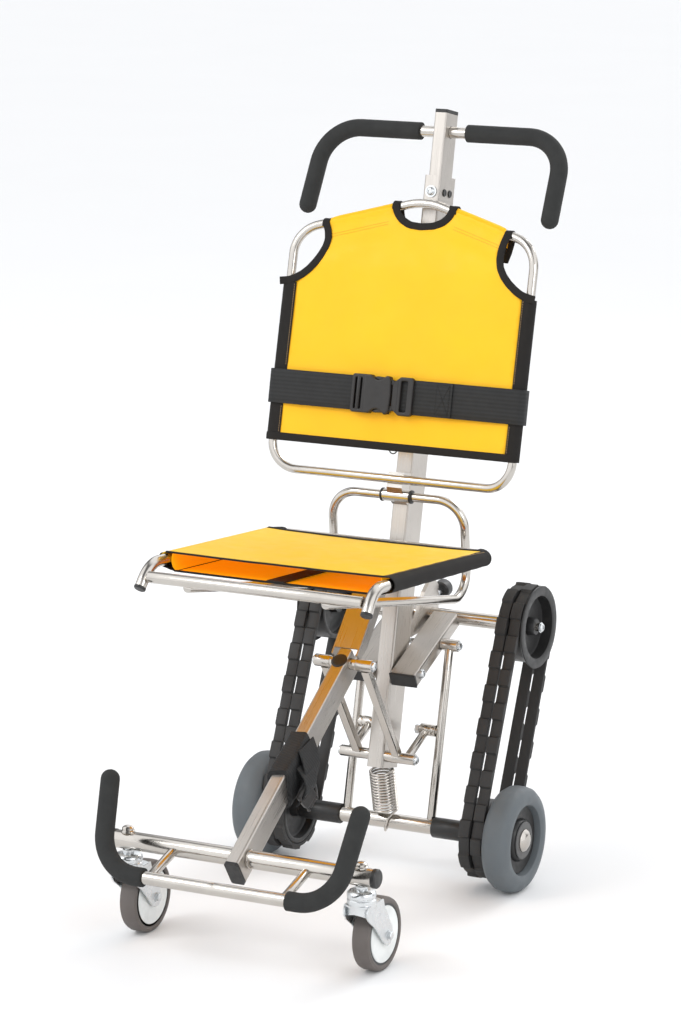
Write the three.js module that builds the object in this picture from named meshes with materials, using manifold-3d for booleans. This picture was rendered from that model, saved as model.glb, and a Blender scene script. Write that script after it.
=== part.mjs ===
// Stair chair: a folding evacuation chair with a reclined mast, a sling back, a flip-up seat,
// a hinged front leg on two castors, and a rear track frame with cogged belts and two wheels.
//
// Millimetres. +Z is up, the chair faces -Y, +X is the sitter's left. The origin is on the
// floor, in the middle of the chair's bounding box.

import * as THREE from 'three';
import { mergeVertices } from 'three/addons/utils/BufferGeometryUtils.js';
import Module from 'manifold-3d';

const wasm = await Module();
wasm.setup();

// ---------------------------------------------------------------- driving dimensions

const GAP = 0.3;                     // clearance between neighbouring pieces
const ORIGIN_SHIFT = 3;              // moves the whole chair along Y to centre its box

// mast, a 25 x 50 mm rectangular tube that leans back
const LEAN = THREE.MathUtils.degToRad(13.14);
const MAST_FOOT_Y = 90.3;            // where the mast's centreline meets the floor
const MAST_BOTTOM = 163;
const MAST_TOP = 1000;
const MAST_WIDTH = 25;
const MAST_DEPTH = 50;
const MAST_WALL = 1.5;
const MAST_FRONT = -MAST_DEPTH / 2;

// telescopic handle
const HANDLE_WIDTH = 19;
const HANDLE_DEPTH = 38;
const HANDLE_BOTTOM = 669;
const HANDLE_TOP = 1089;
const HANDLE_BAR_HEIGHT = 1063;
const HANDLE_BAR_RADIUS = 8;
const HANDLE_CORNER_X = 186.5;
const HANDLE_TIP = { x: 189.5, forward: -32, height: 947 };
const HANDLE_TRAVEL = 260;
const GRIP_RADIUS = 12.5;
const LOCK_BUTTON_HEIGHT = 977;
const LOCK_BUTTON_RADIUS = 5.4;

// backrest frame, in the mast's own frame: x across, w backwards, s up the mast
const FRAME_TUBE = 6.35;
const FRAME_HALF_WIDTH = 187.5;
const FRAME_BOTTOM = 570;
const FRAME_SHOULDER = 907.8;
const FRAME_APEX = 958;
const FRAME_APEX_FLAT = 14.5;
const FRAME_BOTTOM_SET = 50;         // how far the tube's centre lies in front of the mast's centre
const FRAME_APEX_SET = 40;
const FRAME_BOW = 22;                // the sides curve forward by this much

// sling back
const COVER_HALF_WIDTH = 195.5;
const COVER_BOTTOM = 609;
const COVER_ARMHOLE = 832;
const COVER_THICKNESS = 2.5;
const COVER_FRONT = 81;

// body belt
const BELT_LOW = 661;
const BELT_HIGH = 709;
const BUCKLE_LEFT = -60;
const BUCKLE_RIGHT = 36;

// seat: hinge on the mast, wire loop, U-shaped frame and sling
const HINGE = { forward: -37, height: 547 };
const HINGE_SLEEVE_RADIUS = 8.75;
const HINGE_SLEEVE_HALF = 20.5;
const LOOP_HALF_WIDTH = 104;
const LOOP_LOW = { y: 189, z: 401 };
const LOOP_FRONT = { y: -232, z: 487 };
const SEAT_CROSS = { y: -235, z: 497 };
const SEAT_TILT = THREE.MathUtils.degToRad(5.04);
const SEAT_REAR = { y: 131, z: 481 };
const SEAT_TUBE = 8;
const SEAT_HALF_WIDTH = 168;
const SEAT_COVER_REAR = -20;
const SEAT_COVER_FRONT = -311;
const SEAT_COVER_HEIGHT = 10.4;

// knee: channel from the mast, pivot tube, links down to the lower cross tube
const KNEE = { y: 15.8, z: 337.1 };
const KNEE_HALF = 44;
const CHANNEL_ANGLE = THREE.MathUtils.degToRad(47.9);
const CHANNEL_WIDTH = 40;
const CHANNEL_DEPTH = 20;
const CHANNEL_LENGTH = 171;
const LOWER_CROSS = { y: 116, z: 179 };
const LOWER_CROSS_HALF = 58;
const LINK_X = 31;

// front leg, cross tube and bumper
const LEG_ANGLE = THREE.MathUtils.degToRad(33.1);
const LEG_WIDTH = 20;
const LEG_DEPTH = 40;
const CROSS = { y: -275.5, z: 140 };
const CROSS_HALF = 195;
const CROSS_RADIUS = 12.5;
const BUMPER = { y: -350.9, z: 119 };
const BUMPER_RISE = THREE.MathUtils.degToRad(25);
const BUMPER_RADIUS = 9;
const BUMPER_GRIP_RADIUS = 13;
const BUMPER_GRIP_START = 109;
const BUMPER_TIP = { x: 188.6, height: 117 };
const STRUT_X = 101;

// castors
const CASTOR_X = 177;
const CASTOR_TRAIL = 42;
const CASTOR_RADIUS = 50;
const CASTOR_WIDTH = 27;

// rear axle, track frame and wheels
const AXLE = { y: 144, z: 75 };
const AXLE_RADIUS = 11;
const ARM_PIVOT = { y: 143.5, z: 297 };
const ARM_ANGLE = THREE.MathUtils.degToRad(23.2);
const ARM_REACH = 134.6;
const ARM_INNER_X = 14.5;
const ARM_WIDTH = 40;
const ARM_DEPTH = 20;
const ROD_PIVOT_REACH = 70.7;
const ROD_X = 67;
const ROD_RADIUS = 6.35;
const STUD = { y: 180.5, z: 205.5 };
const UPPER_CROSS_RADIUS = 10.5;
const TRACK_INNER_X = 139;
const TRACK_WIDTH = 37;
const BELT_INNER_RADIUS = 52;
const BELT_BASE = 6;
const BELT_TOOTH = 4;
const BELT_TEETH = 20;
const WHEEL_RADIUS = 75;
const WHEEL_WIDTH = 42;
const WHEEL_X = 198;

const ARM_DIRECTION = { y: Math.cos(ARM_ANGLE), z: Math.sin(ARM_ANGLE) };
const UPPER_CROSS = {
  y: ARM_PIVOT.y + ARM_REACH * ARM_DIRECTION.y,
  z: ARM_PIVOT.z + ARM_REACH * ARM_DIRECTION.z,
};
const ROD_PIVOT = {
  y: ARM_PIVOT.y + ROD_PIVOT_REACH * ARM_DIRECTION.y,
  z: ARM_PIVOT.z + ROD_PIVOT_REACH * ARM_DIRECTION.z,
};

// ---------------------------------------------------------------- materials

function finish(color, roughness, metalness) {
  return new THREE.MeshStandardMaterial({ color, roughness, metalness });
}

const polished = finish(0xcfcac4, 0.22, 1);
const brushed = finish(0xb5aea7, 0.42, 1);
const zinc = finish(0xc9cfd2, 0.35, 1);
const blackPlastic = finish(0x262626, 0.5, 0);
const blackRubber = finish(0x2e2d2c, 0.75, 0);
const foam = finish(0x3a3b3a, 0.9, 0);
const webbing = finish(0x33322f, 0.85, 0);
const yellowVinyl = finish(0xf7bd22, 0.55, 0);
const blueGreyTyre = finish(0x6b7378, 0.7, 0);
const warmGreyTyre = finish(0x857c77, 0.7, 0);

// ---------------------------------------------------------------- geometry helpers

const V = (x, y, z) => new THREE.Vector3(x, y, z);

function toSolid(geometry) {
  const bare = geometry.clone();
  bare.deleteAttribute('normal');
  bare.deleteAttribute('uv');
  const merged = mergeVertices(bare, 1e-4);
  return new wasm.Manifold(new wasm.Mesh({
    numProp: 3,
    vertProperties: new Float32Array(merged.attributes.position.array),
    triVerts: new Uint32Array(merged.index.array),
  }));
}

function fromSolid(solid) {
  const data = solid.getMesh();
  const geometry = new THREE.BufferGeometry();
  geometry.setAttribute('position', new THREE.BufferAttribute(data.vertProperties, 3));
  geometry.setIndex(new THREE.BufferAttribute(data.triVerts, 1));
  geometry.computeVertexNormals();
  return geometry;
}

function join(...geometries) {
  return fromSolid(geometries.map(toSolid).reduce((a, b) => a.add(b)));
}

function cut(geometry, ...tools) {
  return fromSolid(tools.map(toSolid).reduce((a, b) => a.subtract(b), toSolid(geometry)));
}

function common(a, b) {
  return fromSolid(toSolid(a).intersect(toSolid(b)));
}

// A mirror image across the plane x = 0, with its faces turned to point out again.
function mirrored(geometry) {
  const copy = geometry.index ? geometry.toNonIndexed() : geometry.clone();
  copy.deleteAttribute('normal');
  copy.deleteAttribute('uv');
  const place = copy.attributes.position;
  for (let i = 0; i < place.count; i += 3) {
    const a = V().fromBufferAttribute(place, i);
    const b = V().fromBufferAttribute(place, i + 1);
    const c = V().fromBufferAttribute(place, i + 2);
    place.setXYZ(i, -a.x, a.y, a.z);
    place.setXYZ(i + 1, -c.x, c.y, c.z);
    place.setXYZ(i + 2, -b.x, b.y, b.z);
  }
  copy.computeVertexNormals();
  return copy;
}

// A path through given points, one extrusion step from each point to the next.
class Route extends THREE.Curve {
  constructor(points) {
    super();
    this.points = points;
  }

  getPointAt(u) {
    const last = this.points.length - 1;
    const place = Math.min(Math.max(u * last, 0), last);
    const i = Math.min(Math.floor(place), last - 1);
    return this.points[i].clone().lerp(this.points[i + 1], place - i);
  }

  getPoint(t) {
    return this.getPointAt(t);
  }

  getTangentAt(u) {
    const last = this.points.length - 1;
    const i = Math.round(u * last);
    const before = this.points[Math.max(i - 1, 0)];
    const here = this.points[i];
    const after = this.points[Math.min(i + 1, last)];
    const into = here.clone().sub(before).normalize();
    const out = after.clone().sub(here).normalize();
    return into.add(out).normalize();
  }
}

// Points of a path with straight runs between corners and a bend of the given radius at each.
function bend(corners, radius, steps = 5) {
  const points = [corners[0].clone()];
  for (let i = 1; i < corners.length - 1; i += 1) {
    const r = Array.isArray(radius) ? radius[i - 1] : radius;
    const back = corners[i - 1].clone().sub(corners[i]).normalize();
    const on = corners[i + 1].clone().sub(corners[i]).normalize();
    const turn = Math.PI - back.angleTo(on);
    const centre = corners[i].clone().addScaledVector(
      back.clone().add(on).normalize(), r / Math.cos(turn / 2));
    const start = corners[i].clone().addScaledVector(back, r * Math.tan(turn / 2)).sub(centre);
    const axis = on.clone().cross(back).normalize();
    for (let k = 0; k <= steps; k += 1) {
      points.push(start.clone().applyAxisAngle(axis, (turn * k) / steps).add(centre));
    }
  }
  points.push(corners[corners.length - 1].clone());
  return points;
}

function disc(radius, sides) {
  const points = [];
  for (let i = 0; i < sides; i += 1) {
    const angle = (2 * Math.PI * (i + 0.5)) / sides;
    points.push(new THREE.Vector2(radius * Math.cos(angle), radius * Math.sin(angle)));
  }
  return new THREE.Shape(points);
}

function sweep(points, radius, sides = 10) {
  return new THREE.ExtrudeGeometry(disc(radius, sides), {
    steps: points.length - 1,
    extrudePath: new Route(points),
  });
}

function rod(from, to, radius, sides = 14) {
  return sweep([from, to], radius, sides);
}

function crossRod(place, fromX, toX, radius, sides = 14) {
  return rod(V(fromX, place.y, place.z), V(toX, place.y, place.z), radius, sides);
}

function roundedRectangle(width, depth, radius) {
  const x = width / 2;
  const y = depth / 2;
  const shape = new THREE.Shape();
  shape.moveTo(-x + radius, -y);
  shape.lineTo(x - radius, -y);
  shape.absarc(x - radius, -y + radius, radius, -Math.PI / 2, 0);
  shape.lineTo(x, y - radius);
  shape.absarc(x - radius, y - radius, radius, 0, Math.PI / 2);
  shape.lineTo(-x + radius, y);
  shape.absarc(-x + radius, y - radius, radius, Math.PI / 2, Math.PI);
  shape.lineTo(-x, -y + radius);
  shape.absarc(-x + radius, -y + radius, radius, Math.PI, 1.5 * Math.PI);
  return shape;
}

// A bar of rounded rectangular section standing along +Z from `low` to `high`.
function bar(width, depth, low, high, radius = 3) {
  const geometry = new THREE.ExtrudeGeometry(roundedRectangle(width, depth, radius), {
    depth: high - low,
    bevelEnabled: false,
    curveSegments: 2,
  });
  return geometry.translate(0, 0, low);
}

// A plate whose outline is given in (y, z), extruded across X.
function plate(outline, fromX, toX) {
  const shape = new THREE.Shape(outline.map(([y, z]) => new THREE.Vector2(y, z)));
  const geometry = new THREE.ExtrudeGeometry(shape, { depth: toX - fromX, bevelEnabled: false });
  geometry.applyMatrix4(new THREE.Matrix4().makeBasis(V(0, 1, 0), V(0, 0, 1), V(1, 0, 0)));
  return geometry.translate(fromX, 0, 0);
}

function box(width, depth, height, x, y, z) {
  return new THREE.BoxGeometry(width, depth, height).translate(x, y, z);
}

// A solid turned about an axle along X. The profile holds (x, radius) pairs.
function turned(profile, sides = 32) {
  const points = profile.map(([x, radius]) => new THREE.Vector2(radius, x));
  const geometry = new THREE.LatheGeometry(points, sides);
  return geometry.rotateZ(-Math.PI / 2);
}

function mesh(name, geometry, material) {
  const piece = new THREE.Mesh(geometry, material);
  piece.name = name;
  return piece;
}

function group(...children) {
  const holder = new THREE.Group();
  holder.add(...children);
  return holder;
}

// ---------------------------------------------------------------- places on the mast

// Turns the mast's own coordinates (x across, w backwards, s up the mast) into the chair's.
function onMast(x, w, s) {
  return V(
    x,
    MAST_FOOT_Y + w * Math.cos(LEAN) + s * Math.sin(LEAN),
    s * Math.cos(LEAN) - w * Math.sin(LEAN),
  );
}

function mastGroup(...children) {
  const holder = group(...children);
  holder.position.set(0, MAST_FOOT_Y, 0);
  holder.rotation.x = -LEAN;
  return holder;
}

// The mast's own (w, s) of a place given in the chair's (y, z).
function mastPlace({ y, z }) {
  const dy = y - MAST_FOOT_Y;
  return {
    y: dy * Math.cos(LEAN) - z * Math.sin(LEAN),
    z: dy * Math.sin(LEAN) + z * Math.cos(LEAN),
  };
}

// ---------------------------------------------------------------- mast and handle

function mastTube() {
  const shape = roundedRectangle(MAST_WIDTH, MAST_DEPTH, 3);
  shape.holes.push(roundedRectangle(MAST_WIDTH - 2 * MAST_WALL, MAST_DEPTH - 2 * MAST_WALL, 1.5));
  const tube = new THREE.ExtrudeGeometry(shape, {
    depth: MAST_TOP - MAST_BOTTOM,
    bevelEnabled: false,
    curveSegments: 2,
  }).translate(0, 0, MAST_BOTTOM);
  const buttonHoles = [-8.5, 8.5].map((w) => crossRod(
    { y: w, z: LOCK_BUTTON_HEIGHT }, MAST_WIDTH / 2 - 4, MAST_WIDTH / 2 + 4, LOCK_BUTTON_RADIUS + GAP));
  return cut(
    tube,
    crossRod(mastPlace(LOWER_CROSS), -20, 20, 8 + GAP),
    crossRod(mastPlace(ARM_PIVOT), -20, 20, 4 + GAP),
    rod(V(0, -40, LOCK_BUTTON_HEIGHT), V(0, -15, LOCK_BUTTON_HEIGHT), 3 + GAP),
    ...buttonHoles,
  );
}

// Nylon sleeve that guides the sliding handle in the mouth of the mast.
function guideLiner() {
  const innerWidth = MAST_WIDTH - 2 * MAST_WALL - 2 * GAP;
  const innerDepth = MAST_DEPTH - 2 * MAST_WALL - 2 * GAP;
  const shape = roundedRectangle(innerWidth, innerDepth, 1.4);
  shape.holes.push(roundedRectangle(HANDLE_WIDTH + 2 * GAP, HANDLE_DEPTH + 2 * GAP, 2.5));
  return new THREE.ExtrudeGeometry(shape, { depth: 40, bevelEnabled: false, curveSegments: 2 })
    .translate(0, 0, MAST_TOP - 76);
}

function stopBolt() {
  return join(
    rod(V(0, MAST_FRONT - 5, LOCK_BUTTON_HEIGHT), V(0, MAST_FRONT - 1.8, LOCK_BUTTON_HEIGHT), 5.5),
    rod(V(0, MAST_FRONT - 1.9, LOCK_BUTTON_HEIGHT), V(0, MAST_FRONT - GAP, LOCK_BUTTON_HEIGHT), 7.5),
    rod(V(0, MAST_FRONT - 1, LOCK_BUTTON_HEIGHT), V(0, MAST_FRONT + 4, LOCK_BUTTON_HEIGHT), 3),
  );
}

function lockButtons() {
  const inner = HANDLE_WIDTH / 2 + GAP;
  const outer = MAST_WIDTH / 2 + 1.6;
  const [front, rear] = [-8.5, 8.5].map((w) => crossRod(
    { y: w, z: LOCK_BUTTON_HEIGHT }, inner, outer, LOCK_BUTTON_RADIUS));
  const bridge = box(0.9, 17, 6, inner + 0.45, 0, LOCK_BUTTON_HEIGHT);
  return join(front, rear, bridge);
}

function handleBarPath(end) {
  const corner = V(HANDLE_CORNER_X, 0, HANDLE_BAR_HEIGHT);
  const tip = V(HANDLE_TIP.x, HANDLE_TIP.forward, HANDLE_TIP.height);
  return bend([V(end, 0, HANDLE_BAR_HEIGHT), corner, tip], 56, 6);
}

function handleBar() {
  const points = handleBarPath(-0.5);
  const last = points.length - 1;
  points[last].lerp(points[last - 1], 0.16);
  const half = sweep(points, HANDLE_BAR_RADIUS);
  return join(half, mirrored(half));
}

// The slots are where the lock buttons drop in, with the handle down and with it pulled out.
function handleTube() {
  const shape = roundedRectangle(HANDLE_WIDTH, HANDLE_DEPTH, 2.5);
  shape.holes.push(roundedRectangle(HANDLE_WIDTH - 3, HANDLE_DEPTH - 3, 1));
  const tube = new THREE.ExtrudeGeometry(shape, {
    depth: HANDLE_TOP - HANDLE_BOTTOM,
    bevelEnabled: false,
    curveSegments: 2,
  }).translate(0, 0, HANDLE_BOTTOM);
  const slots = [0, HANDLE_TRAVEL].map((drop) => box(
    8, 29.4, 12, HANDLE_WIDTH / 2, 0, LOCK_BUTTON_HEIGHT - drop));
  return cut(
    tube,
    crossRod({ y: 0, z: HANDLE_BAR_HEIGHT }, -20, 20, HANDLE_BAR_RADIUS + 0.6),
    ...slots,
  );
}

// Foam tube with a rounded closed tip, bored to slip over its bar.
function foamGrip(path, outer, inner, sides = 10) {
  const tip = path[path.length - 1];
  const before = path[path.length - 2];
  const away = tip.clone().sub(before).normalize();
  const dome = new THREE.IcosahedronGeometry(outer, 1).translate(tip.x, tip.y, tip.z);
  const bore = path.slice();
  bore[0] = path[0].clone().addScaledVector(path[0].clone().sub(path[1]).normalize(), 5);
  bore[bore.length - 1] = tip.clone().addScaledVector(away, -6);
  return cut(join(sweep(path, outer, sides), dome), sweep(bore, inner, 10));
}

function handleGrip() {
  const path = handleBarPath(37);
  return foamGrip(path, GRIP_RADIUS, HANDLE_BAR_RADIUS + 0.9);
}

function handleTopCap() {
  return bar(HANDLE_WIDTH, HANDLE_DEPTH, HANDLE_TOP + GAP, HANDLE_TOP + 5, 2.5);
}

// ---------------------------------------------------------------- backrest

// How far forward the backrest tube's centre lies at (x, s).
function bow(x, s) {
  const climb = (s - FRAME_BOTTOM) / (FRAME_APEX - FRAME_BOTTOM);
  const set = THREE.MathUtils.lerp(FRAME_BOTTOM_SET, FRAME_APEX_SET, climb);
  return -(set + FRAME_BOW * (x / FRAME_HALF_WIDTH) ** 2);
}

function subdivided(points, longest) {
  const finer = [points[0]];
  for (let i = 1; i < points.length; i += 1) {
    const pieces = Math.ceil(points[i].distanceTo(points[i - 1]) / longest);
    for (let k = 1; k <= pieces; k += 1) {
      finer.push(points[i - 1].clone().lerp(points[i], k / pieces));
    }
  }
  return finer;
}

function backFrame() {
  const flat = bend([
    V(-0.5, 0, FRAME_BOTTOM),
    V(FRAME_HALF_WIDTH, 0, FRAME_BOTTOM),
    V(FRAME_HALF_WIDTH, 0, FRAME_SHOULDER),
    V(FRAME_APEX_FLAT, 0, FRAME_APEX),
    V(-0.5, 0, FRAME_APEX),
  ], [38, 45, 90], 5);
  const points = subdivided(flat, 90);
  points.forEach((point) => point.setY(bow(point.x, point.z)));
  const half = sweep(points, FRAME_TUBE);
  const boss = rod(V(0, -FRAME_APEX_SET, FRAME_APEX), V(0, MAST_FRONT - GAP, FRAME_APEX), 5);
  return join(half, mirrored(half), boss);
}

// A gusset welded to the sleeve that the seat's wire loop turns in.
function hingeBracket() {
  const gusset = plate([
    [MAST_FRONT - GAP, HINGE.height - 12],
    [MAST_FRONT - GAP, FRAME_BOTTOM + 10],
    [-FRAME_BOTTOM_SET + 3, FRAME_BOTTOM + 10],
    [-FRAME_BOTTOM_SET, FRAME_BOTTOM - 12],
    [HINGE.forward - 4, HINGE.height - 4],
  ], -12, 12);
  const place = { y: HINGE.forward, z: HINGE.height };
  const sleeve = crossRod(place, -HINGE_SLEEVE_HALF, HINGE_SLEEVE_HALF, HINGE_SLEEVE_RADIUS, 20);
  return cut(
    join(gusset, sleeve),
    crossRod(place, -30, 30, FRAME_TUBE + GAP, 16),
    crossRod({ y: -FRAME_BOTTOM_SET, z: FRAME_BOTTOM }, -30, 30, FRAME_TUBE + 0.5),
  );
}

function backCover() {
  const outline = new THREE.Shape();
  outline.moveTo(-COVER_HALF_WIDTH, COVER_BOTTOM);
  outline.lineTo(COVER_HALF_WIDTH, COVER_BOTTOM);
  outline.lineTo(COVER_HALF_WIDTH, COVER_ARMHOLE);
  outline.bezierCurveTo(165, COVER_ARMHOLE, 126, 850, 128, 925);
  outline.lineTo(52, 952);
  outline.bezierCurveTo(40, 911, -40, 911, -52, 952);
  outline.lineTo(-128, 925);
  outline.bezierCurveTo(-126, 850, -165, COVER_ARMHOLE, -COVER_HALF_WIDTH, COVER_ARMHOLE);
  const slab = new THREE.ExtrudeGeometry(outline, { depth: 80, bevelEnabled: false, curveSegments: 8 });
  slab.applyMatrix4(new THREE.Matrix4().makeBasis(V(1, 0, 0), V(0, 0, 1), V(0, -1, 0)));
  slab.translate(0, -20, 0);
  const back = -COVER_FRONT + COVER_THICKNESS;
  const profile = plate([
    [-COVER_FRONT, COVER_BOTTOM - 10],
    [back, COVER_BOTTOM - 10],
    [back, 885],
    [-60, 922],
    [-49, 960],
    [-52, 960],
    [-63, 920],
    [-COVER_FRONT, 884],
  ], -220, 220);
  return common(slab, profile);
}

// One half of the belt: from the buckle outwards, then back round the side of the frame.
function bodyBelt(side, inner) {
  const front = -COVER_FRONT - GAP;
  const outline = [
    [side * 203, front - 2],
    [inner, front - 2],
    [inner, front],
    [side * (COVER_HALF_WIDTH + GAP), front],
    [side * (COVER_HALF_WIDTH + GAP), -58],
    [side * 203, -58],
  ];
  const shape = new THREE.Shape(outline.map(([x, w]) => new THREE.Vector2(x, w)));
  const strip = new THREE.ExtrudeGeometry(shape, { depth: BELT_HIGH - BELT_LOW, bevelEnabled: false });
  return strip.translate(0, 0, BELT_LOW);
}

function buckleHalf(fromX, toX) {
  const front = -COVER_FRONT - GAP;
  return box(toX - fromX, 13, 52, (fromX + toX) / 2, front - 6.5, (BELT_LOW + BELT_HIGH) / 2);
}

// ---------------------------------------------------------------- seat

// A wire loop that hangs on the hinge, runs under the seat and ends at the front cross tube.
function seatLoop() {
  const hinge = onMast(0, HINGE.forward, HINGE.height);
  const points = bend([
    V(-0.5, hinge.y, hinge.z),
    V(LOOP_HALF_WIDTH, hinge.y, hinge.z),
    V(LOOP_HALF_WIDTH, LOOP_LOW.y, LOOP_LOW.z),
    V(LOOP_HALF_WIDTH, LOOP_FRONT.y, LOOP_FRONT.z),
  ], [40, 34], 6);
  const half = sweep(points, FRAME_TUBE);
  const reach = SEAT_HALF_WIDTH - SEAT_TUBE - GAP;
  return join(half, mirrored(half), crossRod(SEAT_CROSS, -reach, reach, SEAT_TUBE));
}

function seatFrame() {
  const points = bend([
    V(-0.5, 0, 0),
    V(SEAT_HALF_WIDTH, 0, 0),
    V(SEAT_HALF_WIDTH, -352, 0),
    V(SEAT_HALF_WIDTH + 2, -372, -30),
  ], [28, 44], 5);
  const half = sweep(points, SEAT_TUBE);
  return join(half, mirrored(half));
}

// Two sheets that run round the side tubes as one flat sleeve, open at the front and the rear.
function seatCover() {
  const halfWidth = SEAT_HALF_WIDTH + SEAT_COVER_HEIGHT;
  const depth = SEAT_COVER_REAR - SEAT_COVER_FRONT;
  const outer = roundedRectangle(2 * halfWidth, 2 * SEAT_COVER_HEIGHT, SEAT_COVER_HEIGHT - 0.5);
  const inset = 1.9;
  outer.holes.push(roundedRectangle(
    2 * (halfWidth - inset), 2 * (SEAT_COVER_HEIGHT - inset), SEAT_COVER_HEIGHT - inset - 0.1));
  const sleeve = new THREE.ExtrudeGeometry(outer, { depth, bevelEnabled: false, curveSegments: 4 });
  return sleeve.rotateX(Math.PI / 2).translate(0, SEAT_COVER_REAR, 0);
}

function seatGroup(...children) {
  const holder = group(...children);
  holder.position.set(0, SEAT_REAR.y, SEAT_REAR.z);
  holder.rotation.x = -SEAT_TILT;
  return holder;
}

// ---------------------------------------------------------------- knee and front leg

// Places a piece built along +Z so that it runs from `at` in a direction in the YZ plane.
function alongAngle(piece, at, angle) {
  piece.position.set(0, at.y, at.z);
  piece.rotation.x = angle - Math.PI / 2;
  return piece;
}

// The same placing for a bare geometry.
function laid(geometry, at, angle) {
  return geometry.rotateX(angle - Math.PI / 2).translate(0, at.y, at.z);
}

// Built along +Z from the knee; its open side faces down and back. A lug ties it to the mast.
function kneeChannel() {
  const outline = [
    [9, 9],
    [9, CHANNEL_LENGTH],
    [9 - CHANNEL_DEPTH, CHANNEL_LENGTH],
    [9 - CHANNEL_DEPTH, 30],
    [-4, 9],
  ];
  const solid = plate(outline.map(([w, s]) => [-w, s]).reverse(), -CHANNEL_WIDTH / 2, CHANNEL_WIDTH / 2);
  const hollow = box(CHANNEL_WIDTH - 4, CHANNEL_DEPTH, CHANNEL_LENGTH + 80, 0, 3, CHANNEL_LENGTH / 2);
  // The leg swings in the mouth: the front wall stops short of the sweep of the leg's corner.
  const mouth = box(CHANNEL_WIDTH - 4, 42, 66, 0, 14, 0);
  const frontMouth = box(CHANNEL_WIDTH - 4, 60, 38, 0, 0, 0);
  const channel = laid(cut(solid, hollow, mouth, frontMouth), KNEE, CHANNEL_ANGLE);
  const top = {
    y: KNEE.y + Math.cos(CHANNEL_ANGLE) * (CHANNEL_LENGTH - 12),
    z: KNEE.z + Math.sin(CHANNEL_ANGLE) * (CHANNEL_LENGTH - 12),
  };
  const place = mastPlace(top);
  const corners = [
    [MAST_FRONT - GAP, place.z - 26],
    [MAST_FRONT - GAP, place.z + 16],
    [place.y, place.z + 10],
    [place.y - 8, place.z + 2],
    [place.y - 4, place.z - 10],
  ].map(([w, s]) => onMast(0, w, s));
  const lug = plate(corners.map(({ y, z }) => [y, z]), -17.9, 17.9);
  return join(channel, lug);
}

function kneePivotTube() {
  return crossRod(KNEE, -KNEE_HALF, KNEE_HALF, 8);
}

function kneeLink(side) {
  const from = V(side * LINK_X, KNEE.y, KNEE.z);
  const to = V(side * LINK_X, LOWER_CROSS.y, LOWER_CROSS.z);
  const along = to.clone().sub(from);
  const angle = Math.atan2(along.z, along.y);
  const link = mesh(
    side > 0 ? 'knee_link_left' : 'knee_link_right',
    bar(12, 12, 8 + GAP, along.length() - 8 - GAP, 2).translate(side * LINK_X, 0, 0),
    polished,
  );
  return alongAngle(link, KNEE, angle);
}

function lowerCrossTube() {
  return crossRod(LOWER_CROSS, -LOWER_CROSS_HALF, LOWER_CROSS_HALF, 8);
}

// Where the knee pivot lies along the leg from the cross tube, and how far above its centreline.
const KNEE_RUN = { y: KNEE.y - CROSS.y, z: KNEE.z - CROSS.z };
const LEG_LENGTH = KNEE_RUN.y * Math.cos(LEG_ANGLE) + KNEE_RUN.z * Math.sin(LEG_ANGLE);
const KNEE_ABOVE_LEG = KNEE_RUN.z * Math.cos(LEG_ANGLE) - KNEE_RUN.y * Math.sin(LEG_ANGLE);

// The leg is built along +Z from the cross tube's side up to the knee, then laid at its angle.
function legTube() {
  const tube = bar(LEG_WIDTH, LEG_DEPTH, -24, LEG_LENGTH + 14, 3);
  return cut(
    tube,
    crossRod({ y: 0, z: 0 }, -30, 30, CROSS_RADIUS + GAP, 20),
    crossRod({ y: -KNEE_ABOVE_LEG, z: LEG_LENGTH }, -30, 30, 8 + GAP),
  );
}

function legGroup(...children) {
  const holder = group(...children);
  holder.position.set(0, CROSS.y, CROSS.z);
  holder.rotation.x = LEG_ANGLE - Math.PI / 2;
  return holder;
}

function legEndCap() {
  return bar(LEG_WIDTH, LEG_DEPTH, -29, -24 - GAP, 3);
}

function ankleStrap() {
  const shape = roundedRectangle(LEG_WIDTH + 9, LEG_DEPTH + 12, 5);
  shape.holes.push(roundedRectangle(LEG_WIDTH + 2 * GAP, LEG_DEPTH + 2 * GAP, 3));
  return new THREE.ExtrudeGeometry(shape, { depth: 82, bevelEnabled: false, curveSegments: 2 })
    .translate(0, 0, 120);
}

function crossTube() {
  const stems = [-CASTOR_X, CASTOR_X].map((x) => rod(
    V(x, CROSS.y, CROSS.z - 20), V(x, CROSS.y, CROSS.z + 20), 6 + GAP));
  return cut(crossRod(CROSS, -CROSS_HALF, CROSS_HALF, CROSS_RADIUS, 18), ...stems);
}

function crossTubeCap() {
  return crossRod(CROSS, CROSS_HALF + GAP, CROSS_HALF + 7, CROSS_RADIUS + 0.5, 18);
}

// A place in the bumper's own plane, which leans back: x across, rise up the plane.
function onBumper(x, rise) {
  return V(x, BUMPER.y + rise * Math.sin(BUMPER_RISE), BUMPER.z + rise * Math.cos(BUMPER_RISE));
}

function bumperPath(startX) {
  return bend([
    onBumper(startX, 0),
    onBumper(BUMPER_TIP.x - 14, 0),
    onBumper(BUMPER_TIP.x, BUMPER_TIP.height),
  ], 58, 7);
}

function bumperTube() {
  const points = bumperPath(-0.5);
  const last = points.length - 1;
  points[last].lerp(points[last - 1], 0.16);
  const half = sweep(points, BUMPER_RADIUS);
  const strut = rod(
    V(STRUT_X, BUMPER.y + 4, BUMPER.z + 1),
    V(STRUT_X, CROSS.y - CROSS_RADIUS - GAP, CROSS.z - 3),
    6.5,
  );
  return join(half, mirrored(half), strut, mirrored(strut));
}

function bumperGrip() {
  return foamGrip(bumperPath(BUMPER_GRIP_START), BUMPER_GRIP_RADIUS, BUMPER_RADIUS + 0.9);
}

// ---------------------------------------------------------------- castors

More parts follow.
